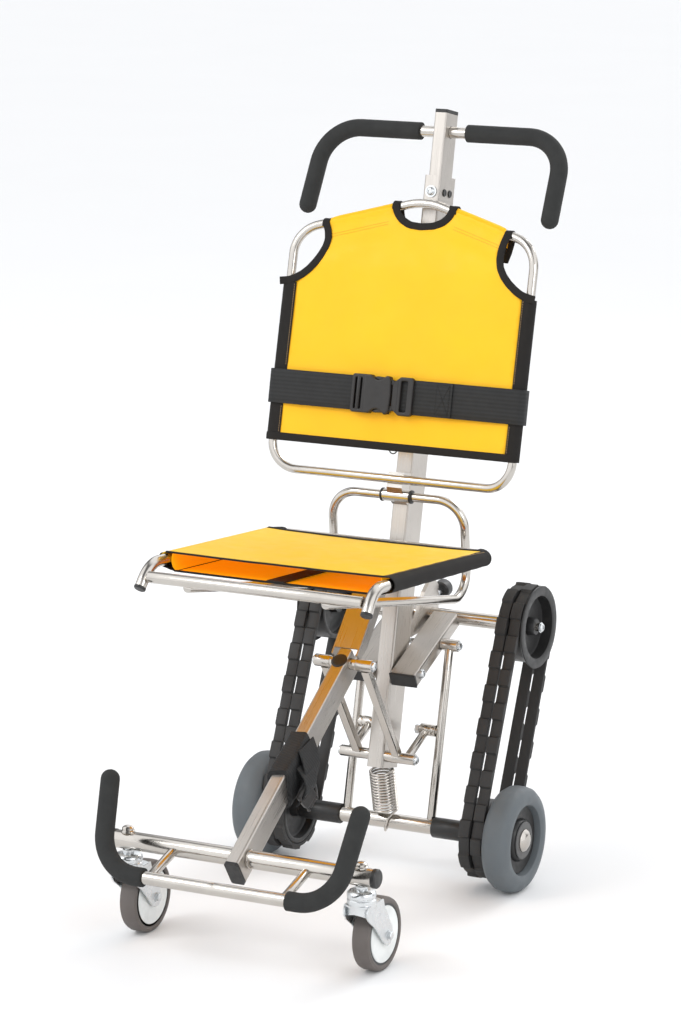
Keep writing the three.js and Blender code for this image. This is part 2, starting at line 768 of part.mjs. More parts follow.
function castorFork() {
  const stem = rod(V(0, 0, 112), V(0, 0, CROSS.z + 14), 6);
  const nut = new THREE.SphereGeometry(9, 12, 6).scale(1, 1, 0.7).translate(0, 0, CROSS.z + 17.5);
  const collar = rod(V(0, 0, 112), V(0, 0, CROSS.z - CROSS_RADIUS - 1), 9);
  const housing = rod(V(0, 0, 103), V(0, 0, 117), 23, 20);
  const crown = box(38, 44, 3, 0, 2, 102);
  const ear = plate([
    [-19, 103],
    [-20, 90],
    [26, 36],
    [CASTOR_TRAIL + 6, 38],
    [CASTOR_TRAIL + 12, 50],
    [CASTOR_TRAIL + 4, 66],
    [24, 103],
  ], 15.5, 18);
  const pin = crossRod({ y: CASTOR_TRAIL, z: CASTOR_RADIUS }, -20, 20, 4);
  const bolt = crossRod({ y: CASTOR_TRAIL, z: CASTOR_RADIUS }, 18, 22, 6, 6);
  return join(stem, nut, collar, housing, crown, ear, mirrored(ear), pin, bolt, mirrored(bolt));
}

function castorWheel() {
  const half = CASTOR_WIDTH / 2;
  const bore = 4 + GAP;
  return turned([
    [-half, bore],
    [-half, 12],
    [-half + 4, 14],
    [-half + 4, 36],
    [-half, 41],
    [-half + 5, 49],
    [0, CASTOR_RADIUS],
    [half - 5, 49],
    [half, 41],
    [half - 4, 36],
    [half - 4, 14],
    [half, 12],
    [half, bore],
    [-half, bore],
  ], 26);
}

function castorGroup(side, ...children) {
  const holder = group(...children);
  holder.position.set(side * CASTOR_X, CROSS.y, 0);
  return holder;
}

// ---------------------------------------------------------------- track frame

function armGroup(piece) {
  const holder = group(piece);
  holder.position.set(0, ARM_PIVOT.y, ARM_PIVOT.z);
  holder.rotation.x = ARM_ANGLE - Math.PI / 2;
  return holder;
}

// Built along +Z from the pivot; the rear end stops at the upper cross tube.
function trackArm(side) {
  const x = side * (ARM_INNER_X + ARM_WIDTH / 2);
  const arm = bar(ARM_WIDTH, ARM_DEPTH, -16.5, ARM_REACH, 2.5).translate(x, 0, 0);
  return cut(
    arm,
    crossRod({ y: 0, z: 0 }, x - 30, x + 30, 4 + GAP),
    crossRod({ y: 0, z: ROD_PIVOT_REACH }, x - 30, x + 30, 4 + GAP),
    crossRod({ y: 0, z: ARM_REACH }, x - 30, x + 30, UPPER_CROSS_RADIUS + GAP, 20),
  );
}

function upperCrossTube() {
  const tube = crossRod(UPPER_CROSS, -132, 132, UPPER_CROSS_RADIUS, 18);
  const spindle = crossRod(UPPER_CROSS, -184, 184, 6);
  const head = crossRod(UPPER_CROSS, 181.5, 187, 8.5, 6);
  return join(tube, spindle, head, mirrored(head));
}

function trackRod() {
  const sleeveEnd = ARM_INNER_X + ARM_WIDTH;
  const top = V(ROD_X, ROD_PIVOT.y, ROD_PIVOT.z);
  const foot = V(ROD_X, AXLE.y + 4, AXLE.z + 9);
  const away = top.clone().sub(foot).normalize();
  const shaft = rod(foot, top.clone().addScaledVector(away, -4), ROD_RADIUS);
  const sleeve = crossRod(ROD_PIVOT, sleeveEnd + 1, sleeveEnd + 26, 8.5);
  const share = (STUD.z - foot.z) / (top.z - foot.z);
  const onRod = foot.clone().lerp(top, share);
  const stud = rod(onRod, V(ROD_X - 34, onRod.y, onRod.z), 5);
  const nut = rod(V(ROD_X - 33, onRod.y, onRod.z), V(ROD_X - 38, onRod.y, onRod.z), 7.5, 6);
  return cut(
    join(shaft, sleeve, stud, nut),
    crossRod(ROD_PIVOT, 40, 90, 4 + GAP),
    crossRod(AXLE, 40, 90, AXLE_RADIUS + GAP, 20),
  );
}

function shortLink() {
  const foot = V(ROD_X, AXLE.y + 4, AXLE.z + 9);
  const top = V(ROD_X, ROD_PIVOT.y, ROD_PIVOT.z);
  const share = (STUD.z - foot.z) / (top.z - foot.z);
  const onRod = foot.clone().lerp(top, share);
  const x = 45;
  const eye = crossRod(onRod, x - 8, x + 9, 8.5);
  const arm = rod(V(x, LOWER_CROSS.y + 4, LOWER_CROSS.z + 2), V(x, onRod.y - 4, onRod.z - 1), 6);
  return cut(
    join(eye, arm),
    crossRod(onRod, 20, 90, 5 + GAP),
    crossRod(LOWER_CROSS, 20, 90, 8 + GAP),
  );
}

// A bolt across the chair with a hexagonal head at each end.
function crossBolt(place, half) {
  const head = crossRod(place, half, half + 4.5, 7, 6);
  return join(crossRod(place, -half - 1, half + 1, 4), head, mirrored(head));
}

function latchPlate() {
  const outline = [
    [201, 332],
    [222, 360],
    [244, 388],
    [262, 401],
    [276, 401],
    [288, 390],
    [288, 345],
    [267, 335],
  ];
  const solid = plate(outline, 4, 10);
  return cut(solid, crossRod(UPPER_CROSS, -20, 20, UPPER_CROSS_RADIUS + GAP, 20));
}

function latchKnob() {
  return join(
    rod(V(7, 289, 376), V(7, 302, 378), 4),
    rod(V(7, 300, 377.7), V(7, 318, 380.4), 13, 20),
  );
}

function axleTube() {
  const tube = crossRod(AXLE, -TRACK_INNER_X + 1, TRACK_INNER_X - 1, AXLE_RADIUS, 18);
  const spindle = crossRod(AXLE, -220, 220, 7);
  return join(tube, spindle);
}

function axleSpacer() {
  return cut(
    crossRod(AXLE, 74, TRACK_INNER_X - 2, 14.5, 18),
    crossRod(AXLE, 60, TRACK_INNER_X + 2, AXLE_RADIUS + GAP, 18),
  );
}

// The outer face is recessed round the hub; the inner face is flat.
function pulley() {
  const half = TRACK_WIDTH / 2;
  const rim = BELT_INNER_RADIUS - 1;
  return turned([
    [-half, 7.5],
    [-half, rim],
    [half, rim],
    [half, rim - 7],
    [half - 10, rim - 8],
    [half - 10, 14],
    [half, 12],
    [half, 7.5],
    [-half, 7.5],
  ], 28);
}

// Outline of a cogged belt round two equal pulleys, standing along +Z with the lower at 0.
function beltOutline(radius, span, toothHeight) {
  const around = 2 * span + 2 * Math.PI * radius;
  const samples = BELT_TEETH * 4;
  const points = [];
  for (let i = 0; i < samples; i += 1) {
    const up = i % 4 < 2;
    const r = radius + (up ? toothHeight : 0);
    const sloped = (i % 4 === 0 || i % 4 === 3) ? 0.12 : -0.12;
    const travel = ((i + sloped) / samples) * around;
    const straight = span;
    const arc = Math.PI * radius;
    if (travel < straight) {
      points.push(new THREE.Vector2(r, travel));
    } else if (travel < straight + arc) {
      const angle = (travel - straight) / radius;
      points.push(new THREE.Vector2(r * Math.cos(angle), span + r * Math.sin(angle)));
    } else if (travel < 2 * straight + arc) {
      points.push(new THREE.Vector2(-r, span - (travel - straight - arc)));
    } else {
      const angle = (travel - 2 * straight - arc) / radius;
      points.push(new THREE.Vector2(-r * Math.cos(angle), -r * Math.sin(angle)));
    }
  }
  return points;
}

function loopHole(radius, span) {
  const path = new THREE.Path();
  path.absarc(0, span, radius, 0, Math.PI);
  path.absarc(0, 0, radius, Math.PI, 2 * Math.PI);
  return path;
}

function trackBelt(side) {
  const run = { y: UPPER_CROSS.y - AXLE.y, z: UPPER_CROSS.z - AXLE.z };
  const span = Math.hypot(run.y, run.z);
  const shape = new THREE.Shape(
    beltOutline(BELT_INNER_RADIUS + BELT_BASE, span, BELT_TOOTH));
  shape.holes.push(loopHole(BELT_INNER_RADIUS, span));
  const belt = new THREE.ExtrudeGeometry(shape, {
    depth: TRACK_WIDTH,
    bevelEnabled: false,
    curveSegments: 14,
  });
  belt.applyMatrix4(new THREE.Matrix4().makeBasis(V(0, 1, 0), V(0, 0, 1), V(1, 0, 0)));
  belt.translate(side > 0 ? TRACK_INNER_X : -TRACK_INNER_X - TRACK_WIDTH, 0, 0);
  const piece = mesh(side > 0 ? 'track_belt_left' : 'track_belt_right', belt, blackRubber);
  piece.position.set(0, AXLE.y, AXLE.z);
  piece.rotation.x = Math.atan2(run.z, run.y) - Math.PI / 2;
  return piece;
}

const COIL_RADIUS = 17;
const WIRE_RADIUS = 1.5;

function tensionSpring() {
  const turns = 13;
  const perTurn = 8;
  const start = V(0, 0, MAST_BOTTOM - 4);
  const end = mastPlace({ y: AXLE.y - 6, z: AXLE.z + AXLE_RADIUS + 10 });
  const axis = V(0, end.y, end.z).sub(start);
  const points = [];
  for (let i = 0; i <= turns * perTurn; i += 1) {
    const share = i / (turns * perTurn);
    const angle = 2 * Math.PI * (i / perTurn);
    const centre = start.clone().addScaledVector(axis, share);
    points.push(centre.add(V(COIL_RADIUS * Math.cos(angle), COIL_RADIUS * Math.sin(angle), 0)));
  }
  return sweep(points, WIRE_RADIUS, 5);
}

function rearWheel() {
  const half = WHEEL_WIDTH / 2;
  const bore = 7 + GAP;
  return turned([
    [-half + 2, bore],
    [-half, 58],
    [-half + 6, 70],
    [-half + 14, 74],
    [0, WHEEL_RADIUS],
    [half - 14, 74],
    [half - 6, 70],
    [half, 58],
    [half - 2, 51],
    [half - 13, 47],
    [half - 13, 28],
    [half - 4, 26],
    [half - 3, bore],
    [-half + 2, bore],
  ], 32);
}

function onAxle(piece, x, place) {
  piece.position.set(x, place.y, place.z);
  return piece;
}

// ---------------------------------------------------------------- assembly

// The two mirrored copies of a piece modelled on the +X side.
function pair(name, geometry, material) {
  return [
    mesh(`${name}_left`, geometry, material),
    mesh(`${name}_right`, mirrored(geometry), material),
  ];
}

const forkGeometry = castorFork();
const wheelGeometry = castorWheel();
const rearWheelGeometry = rearWheel();
const pulleyGeometry = pulley();
const pulleyGeometries = { 1: pulleyGeometry, '-1': mirrored(pulleyGeometry) };

const mast = mastGroup(
  mesh('mast_tube', mastTube(), brushed),
  mesh('handle_guide_liner', guideLiner(), blackPlastic),
  mesh('stop_bolt', stopBolt(), polished),
  mesh('lock_buttons', lockButtons(), blackPlastic),
  mesh('handle_tube', handleTube(), brushed),
  mesh('handle_top_cap', handleTopCap(), blackPlastic),
  mesh('handle_bar', handleBar(), polished),
  ...pair('handle_grip', handleGrip(), foam),
  mesh('back_frame_tube', backFrame(), polished),
  mesh('seat_hinge_bracket', hingeBracket(), polished),
  mesh('back_cover', backCover(), yellowVinyl),
  mesh('body_belt_left', bodyBelt(1, BUCKLE_RIGHT + GAP), webbing),
  mesh('body_belt_right', bodyBelt(-1, BUCKLE_LEFT - GAP), webbing),
  mesh('belt_buckle_socket', buckleHalf(BUCKLE_LEFT, -12), blackPlastic),
  mesh('belt_buckle_tongue', buckleHalf(-12 + GAP, BUCKLE_RIGHT), blackPlastic),
  mesh('tension_spring', tensionSpring(), polished),
);

const seat = group(
  mesh('seat_loop_tube', seatLoop(), polished),
  seatGroup(
    mesh('seat_frame_tube', seatFrame(), polished),
    mesh('seat_cover', seatCover(), yellowVinyl),
  ),
);

const knee = group(
  mesh('knee_channel', kneeChannel(), brushed),
  mesh('knee_pivot_tube', kneePivotTube(), polished),
  kneeLink(1),
  kneeLink(-1),
  mesh('lower_cross_tube', lowerCrossTube(), polished),
  mesh('arm_pivot_bolt', crossBolt(ARM_PIVOT, 55), zinc),
  mesh('rod_pivot_bolt', crossBolt(ROD_PIVOT, 81), zinc),
);

const frontLeg = group(
  legGroup(
    mesh('leg_tube', legTube(), brushed),
    mesh('leg_end_cap', legEndCap(), blackPlastic),
    mesh('ankle_strap', ankleStrap(), webbing),
  ),
  mesh('front_cross_tube', crossTube(), polished),
  ...pair('cross_tube_cap', crossTubeCap(), blackPlastic),
  mesh('bumper_tube', bumperTube(), polished),
  ...pair('bumper_grip', bumperGrip(), foam),
);

const castors = group(...[1, -1].map((side) => {
  const suffix = side > 0 ? 'left' : 'right';
  const wheel = mesh(`castor_wheel_${suffix}`, wheelGeometry, warmGreyTyre);
  wheel.position.set(0, CASTOR_TRAIL, CASTOR_RADIUS);
  return castorGroup(side, mesh(`castor_fork_${suffix}`, forkGeometry, zinc), wheel);
}));

const trackFrame = group(
  armGroup(mesh('track_arm_left', trackArm(1), brushed)),
  armGroup(mesh('track_arm_right', trackArm(-1), brushed)),
  mesh('upper_cross_tube', upperCrossTube(), polished),
  ...pair('track_rod', trackRod(), polished),
  ...pair('short_link', shortLink(), polished),
  mesh('latch_plate', latchPlate(), brushed),
  mesh('latch_knob', latchKnob(), blackPlastic),
  mesh('rear_axle_tube', axleTube(), polished),
  ...pair('axle_spacer', axleSpacer(), blackPlastic),
  trackBelt(1),
  trackBelt(-1),
);

const wheels = group(...[1, -1].flatMap((side) => {
  const suffix = side > 0 ? 'left' : 'right';
  const x = side * (TRACK_INNER_X + TRACK_WIDTH / 2);
  const outward = side > 0 ? rearWheelGeometry : mirrored(rearWheelGeometry);
  return [
    onAxle(mesh(`upper_pulley_${suffix}`, pulleyGeometries[side], blackPlastic), x, UPPER_CROSS),
    onAxle(mesh(`lower_pulley_${suffix}`, pulleyGeometries[side], blackPlastic), x, AXLE),
    onAxle(mesh(`rear_wheel_${suffix}`, outward, blueGreyTyre), side * WHEEL_X, AXLE),
  ];
}));

const chair = group(mast, seat, knee, frontLeg, castors, trackFrame, wheels);
chair.position.y = ORIGIN_SHIFT;

export default group(chair);
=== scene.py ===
# The looks of the stair chair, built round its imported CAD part. Lengths are in millimetres in
# the functions below and become metres where a point is placed.

import math

import bpy
from mathutils import Matrix, Vector
from mathutils.geometry import delaunay_2d_cdt


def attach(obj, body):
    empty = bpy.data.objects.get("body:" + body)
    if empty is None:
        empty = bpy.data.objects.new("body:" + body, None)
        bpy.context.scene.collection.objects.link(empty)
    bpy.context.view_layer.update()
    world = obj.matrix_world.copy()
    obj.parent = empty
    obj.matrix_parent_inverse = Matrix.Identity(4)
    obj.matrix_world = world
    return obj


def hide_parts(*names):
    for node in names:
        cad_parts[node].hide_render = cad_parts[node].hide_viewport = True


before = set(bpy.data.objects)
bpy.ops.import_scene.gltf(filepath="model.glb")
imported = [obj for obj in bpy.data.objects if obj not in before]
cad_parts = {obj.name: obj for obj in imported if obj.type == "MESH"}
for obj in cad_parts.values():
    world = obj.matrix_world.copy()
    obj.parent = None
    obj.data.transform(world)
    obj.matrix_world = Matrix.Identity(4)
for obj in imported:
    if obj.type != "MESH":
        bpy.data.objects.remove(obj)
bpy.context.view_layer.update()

MM = 0.001
THIN_TUBE = 6.35  # radius of the back frame, the seat loop and the track rods
BACK_HALF, BACK_FOOT, BACK_TOP = 187.5, 570, 958  # the back frame's centre line
SEAT_HALF, SEAT_TUBE, SLEEVE = 168, 8, 10.4  # the seat's side tubes, and the sleeve round them
ACROSS = (1, 0, 0)
UPRIGHT = (0, 0, 1)
SHIFT = 3.0
LEAN = math.radians(13.14)
SEAT_TILT = math.radians(5.04)
LEG_ANGLE = math.radians(33.1)
ARM_ANGLE = math.radians(23.2)
BUMPER_LEAN = math.radians(25)
AXLE = (144.0, 75.0)
ARM_PIVOT = (143.5, 297.0)
UPPER_CROSS = (
    ARM_PIVOT[0] + 134.6 * math.cos(ARM_ANGLE),
    ARM_PIVOT[1] + 134.6 * math.sin(ARM_ANGLE),
)
ROD_PIVOT = (
    ARM_PIVOT[0] + 70.7 * math.cos(ARM_ANGLE),
    ARM_PIVOT[1] + 70.7 * math.sin(ARM_ANGLE),
)
KNEE = (15.8, 337.1)
LOWER_CROSS = (116.0, 179.0)
CROSS = (-275.5, 140.0)

# ------------ places


def at(x, y, z):
    """A place in the chair's frame."""
    return Vector((x, y + SHIFT, z)) * MM


def mast(x, w, s):
    """A place measured on the mast: x across, w backwards, s up."""
    c, t = math.cos(LEAN), math.sin(LEAN)
    return at(x, 90.3 + w * c + s * t, s * c - w * t)


def seat(x, v, h):
    """A place measured on the seat frame: v backwards, h up, from the rear tube."""
    c, t = math.cos(SEAT_TILT), math.sin(SEAT_TILT)
    return at(x, 131 + v * c + h * t, 481 - v * t + h * c)


def leg(x, t, d):
    """A place measured on the front leg: t up the leg from the cross tube, d below it."""
    c, s = math.cos(LEG_ANGLE), math.sin(LEG_ANGLE)
    return at(x, CROSS[0] + t * c + d * s, CROSS[1] + t * s - d * c)


def bumper(x, rise):
    """A place in the bumper's plane, which leans back."""
    return at(x, -350.9 + rise * math.sin(BUMPER_LEAN), 119 + rise * math.cos(BUMPER_LEAN))


# ------------ camera, first


def make_camera():
    azimuth, elevation, roll = (math.radians(v) for v in (27.95, 12.68, -0.48))
    back = Vector((
        math.sin(azimuth) * math.cos(elevation),
        -math.cos(azimuth) * math.cos(elevation),
        math.sin(elevation),
    ))
    right = Vector((math.cos(azimuth), math.sin(azimuth), 0))
    up = back.cross(right)
    across = right * math.cos(roll) + up * math.sin(roll)
    upright = up * math.cos(roll) - right * math.sin(roll)
    place = (across * 91.1 + upright * 579.1 + back * 5150) * MM
    place.y -= 0.1935
    data = bpy.data.cameras.new("camera")
    data.lens = 134.1
    data.sensor_width = 36
    camera = bpy.data.objects.new("camera", data)
    bpy.context.scene.collection.objects.link(camera)
    camera.matrix_world = Matrix.Translation(place) @ Matrix((across, upright, back)).transposed().to_4x4()
    bpy.context.scene.camera = camera


make_camera()

# ------------ materials


def wired(tree, kind, output, inputs, **settings):
    """A new node's output, after its settings and its inputs, each a number or another output."""
    made = tree.nodes.new(kind)
    for key, value in settings.items():
        setattr(made, key, value)
    for name, value in inputs.items():
        if hasattr(value, "is_linked"):
            tree.links.new(value, made.inputs[name])
        else:
            made.inputs[name].default_value = value
    return made.outputs[output]


def ranged(low, high, to_low, to_high):
    return {"From Min": low, "From Max": high, "To Min": to_low, "To Max": to_high}


class Shader:
    """A Principled material with short calls for the nodes that give it detail."""

    def __init__(self, name, color, rough, metal=0.0):
        self.material = bpy.data.materials.new(name)
        self.material.use_nodes = True
        self.tree = self.material.node_tree
        self.bsdf = self.tree.nodes["Principled BSDF"]
        self.color = color
        self.set(Base_Color=(*color, 1), Roughness=rough, Metallic=metal)
        self.coords = self.node("TexCoord", "Object", {})

    def node(self, kind, output, inputs, **settings):
        return wired(self.tree, "ShaderNode" + kind, output, inputs, **settings)

    def math(self, operation, a, b):
        return self.node("Math", 0, {0: a, 1: b}, operation=operation)

    def noise(self, scale, detail=3.0, rough=0.55, vector=None):
        inputs = {"Vector": vector or self.coords, "Scale": scale, "Detail": detail, "Roughness": rough}
        return self.node("TexNoise", "Fac", inputs)

    def streaks(self, factors, detail, rough, vector=None):
        """Noise stretched by a factor along each axis."""
        inputs = {0: vector or self.coords, 1: factors}
        stretched = self.node("VectorMath", 0, inputs, operation="MULTIPLY")
        return self.noise(1.0, detail, rough, stretched)

    def waves(self, direction, period):
        """A sine wave that runs along a direction, with its period in millimetres."""
        inputs = {0: self.coords, 1: direction}
        along = self.node("VectorMath", "Value", inputs, operation="DOT_PRODUCT")
        return self.math("SINE", self.math("MULTIPLY", along, 2 * math.pi / (period * MM)), 0.0)

    def tint(self, factor, dark, light):
        """Colours the surface between two shades of its own colour."""
        shades = [(*(min(1.0, c * k) for c in self.color), 1) for k in (dark, light)]
        inputs = {"Factor": factor, 6: shades[0], 7: shades[1]}
        self.link(self.node("Mix", 2, inputs, data_type="RGBA"), "Base Color")

    def gloss(self, factor, low, high):
        inputs = {"Value": factor, **ranged(0.3, 0.7, low, high)}
        self.link(self.node("MapRange", "Result", inputs), "Roughness")

    def bump(self, height, strength, distance):
        inputs = {"Strength": strength, "Distance": distance * MM, "Height": height}
        self.link(self.node("Bump", "Normal", inputs), "Normal")

    def link(self, source, name):
        self.tree.links.new(source, self.bsdf.inputs[name])

    def set(self, **values):
        for name, value in values.items():
            self.bsdf.inputs[name.replace("_", " ")].default_value = value


UP_MAST = (0, math.sin(LEAN), math.cos(LEAN))


def brushed_steel(name, angle):
    """Rectangular tube, brushed along its length, which lies at an angle above -Y or +Y."""
    shader = Shader(name, (0.57, 0.535, 0.495), 0.3, 1.0)
    turned = {"Vector": shader.coords, "Angle": -angle}
    local = shader.node("VectorRotate", 0, turned, rotation_type="X_AXIS")
    streaks = shader.streaks((900, 12, 900), 4.0, 0.6, local)
    shader.tint(shader.math("MULTIPLY", streaks, shader.noise(18)), 0.78, 1.22)
    shader.gloss(streaks, 0.24, 0.42)
    shader.bump(streaks, 0.12, 0.12)
    return shader.material


def polished_steel():
    shader = Shader("polished_steel", (0.55, 0.52, 0.48), 0.14, 1.0)
    blotches = shader.noise(26, 4.0)
    scratches = shader.streaks((500, 500, 90), 2.0, 0.5)
    shader.tint(blotches, 0.84, 1.1)
    shader.gloss(shader.math("MULTIPLY", blotches, shader.math("ADD", scratches, 0.55)), 0.1, 0.26)
    shader.bump(scratches, 0.04, 0.06)
    return shader.material


def grained(name, color, rough, tint, gloss, bump, metal=0.0):
    """tint, gloss and bump each hold the scale and detail of a noise, then two numbers of their own."""
    shader = Shader(name, color, rough, metal)
    shader.tint(shader.noise(*tint[:2]), *tint[2:])
    shader.gloss(shader.noise(*gloss[:2]), *gloss[2:])
    shader.bump(shader.noise(*bump[:2]), *bump[2:])
    return shader.material


def moulded(name, color, rough, grain=1500.0, strength=0.12):
    gloss = (120, 3.0, rough - 0.08, rough + 0.1)
    return grained(name, color, rough, (35, 4.0, 0.78, 1.28), gloss, (grain, 3.0, strength, 0.12))


def foam_skin():
    shader = Shader("foam_skin", (0.026, 0.0265, 0.026), 0.85)
    pores = shader.node("TexVoronoi", "Distance", {"Vector": shader.coords, "Scale": 900})
    shader.tint(shader.noise(60, 5.0), 0.75, 1.35)
    shader.bump(shader.math("ADD", pores, shader.noise(500)), 0.35, 0.25)
    shader.set(Specular_IOR_Level=0.3)
    return shader.material


def vinyl(name, color, up=UP_MAST, glow=0.0):
    """Coated cloth: a fine plain weave shows through the coating."""
    shader = Shader(name, color, 0.5)
    weave = shader.math("MULTIPLY", shader.waves(ACROSS, 1.3), shader.waves(up, 1.3))
    shader.tint(shader.noise(14, 4.0), 0.92, 1.07)
    shader.gloss(shader.noise(40), 0.42, 0.56)
    shader.bump(shader.math("ADD", weave, shader.noise(300, 2.0)), 0.16, 0.1)
    shader.set(Specular_IOR_Level=0.25)
    # glow is painted light: an emission in the cloth's own colour makes it shine, though cloth is no lamp.
    if glow:
        shader.set(Emission_Strength=glow, Emission_Color=(*color, 1))
    return shader.material


def binding_tape():
    shader = Shader("binding_tape", (0.011, 0.0095, 0.0085), 0.8)
    ribs = shader.waves((0.7, 0.3, 0.65), 1.5)
    shader.tint(shader.noise(90, 4.0), 0.75, 1.35)
    shader.bump(shader.math("ADD", ribs, shader.noise(700)), 0.35, 0.2)
    shader.set(Specular_IOR_Level=0.3)
    return shader.material


def webbing(name, across, along, rib=5.5):
    """Nylon webbing: broad ribs along its length and a fine weave across."""
    shader = Shader(name, (0.0125, 0.013, 0.0135), 0.6)
    ribs = shader.waves(across, rib)
    weave = shader.math("MULTIPLY", shader.waves(across, 1.1), shader.waves(along, 1.6))
    shader.tint(shader.math("ADD", shader.math("MULTIPLY", ribs, 0.3), shader.noise(70, 4.0)), 0.7, 1.5)
    shader.bump(shader.math("ADD", ribs, weave), 0.4, 0.28)
    shader.set(Specular_IOR_Level=0.35)
    return shader.material


def tyre(name, color):
    return grained(name, color, 0.6, (20, 5.0, 0.88, 1.12), (60, 3.0, 0.5, 0.68), (1200, 4.0, 0.2, 0.15))


MAST_STEEL = brushed_steel("mast_steel", math.pi / 2 - LEAN)
LEG_STEEL = brushed_steel("leg_steel", LEG_ANGLE)
CHANNEL_STEEL = brushed_steel("channel_steel", math.radians(47.9))
ARM_STEEL = brushed_steel("arm_steel", ARM_ANGLE)
POLISHED = polished_steel()
ZINC = grained(
    "zinc_plate", (0.68, 0.7, 0.71), 0.28,
    (140, 3.0, 0.9, 1.06), (60, 3.0, 0.22, 0.34), (900, 2.0, 0.02, 0.05), 1.0)
BLACK = moulded("black_plastic", (0.013, 0.013, 0.013), 0.42)
BUCKLE = moulded("buckle_plastic", (0.013, 0.0115, 0.011), 0.45, 900, 0.2)
FOAM = foam_skin()
YELLOW = vinyl("yellow_vinyl", (0.93, 0.5, 0.01))
SEAT_YELLOW = vinyl("seat_vinyl", (0.95, 0.57, 0.022), up=(0, 1, 0))
# The underside vinyl carries painted light: a glow of 0.35 lifts it out of the shade under the seat.
GLOWING_ORANGE = vinyl("under_vinyl_painted_glow", (0.9, 0.385, 0.004), up=(0, 1, 0), glow=0.35)
TAPE = binding_tape()
BELT_WEB = webbing("belt_webbing", UP_MAST, ACROSS)
LEG_WEB = webbing("ankle_webbing", (0.2, 0.8, 0.55), (0.5, -0.5, 0.7), 4.0)
TRACK = grained(
    "track_rubber", (0.018, 0.0175, 0.017), 0.62,
    (22, 5.0, 0.7, 1.55), (22, 5.0, 0.5, 0.74), (800, 4.0, 0.22, 0.2))
REAR_TYRE = tyre("rear_tyre", (0.105, 0.12, 0.13))
CASTOR_TYRE = tyre("castor_tyre", (0.115, 0.1, 0.092))
CASTOR_RING = moulded("castor_ring", (0.05, 0.052, 0.053), 0.55)
CASTOR_DISC = moulded("castor_disc", (0.72, 0.74, 0.73), 0.35, 700, 0.06)
GREY_RING = moulded("hub_ring", (0.07, 0.07, 0.07), 0.4)
HEM_THREAD = moulded("hem_thread", (0.62, 0.3, 0.01), 0.7)
THREAD = moulded("tan_thread", (0.3, 0.2, 0.09), 0.8)

# ------------ mesh building


def transported(points):
    """A tangent and a sideways direction at every point, turned as little as possible."""
    count = len(points)
    tangents = []
    for i in range(count):
        into = (points[i] - points[i - 1]).normalized() if i else Vector()
        out = (points[i + 1] - points[i]).normalized() if i < count - 1 else Vector()
        tangents.append((into + out).normalized())
    guide = Vector((0, 0, 1)) if abs(tangents[0].z) < 0.8 else Vector((1, 0, 0))
    side = tangents[0].cross(guide).normalized()
    sides = []
    for tangent in tangents:
        side = (side - tangent * side.dot(tangent)).normalized()
        sides.append(side.copy())
    return list(zip(points, tangents, sides))


def turns(first, last, steps):
    """Angles in radians, from one number of degrees to another."""
    return [math.radians(first + (last - first) * k / steps) for k in range(steps + 1)]


def circle(centre, side, other, size, sides):
    return [centre + (side * math.cos(a) + other * math.sin(a)) * size for a in turns(0, 360, sides)[:-1]]


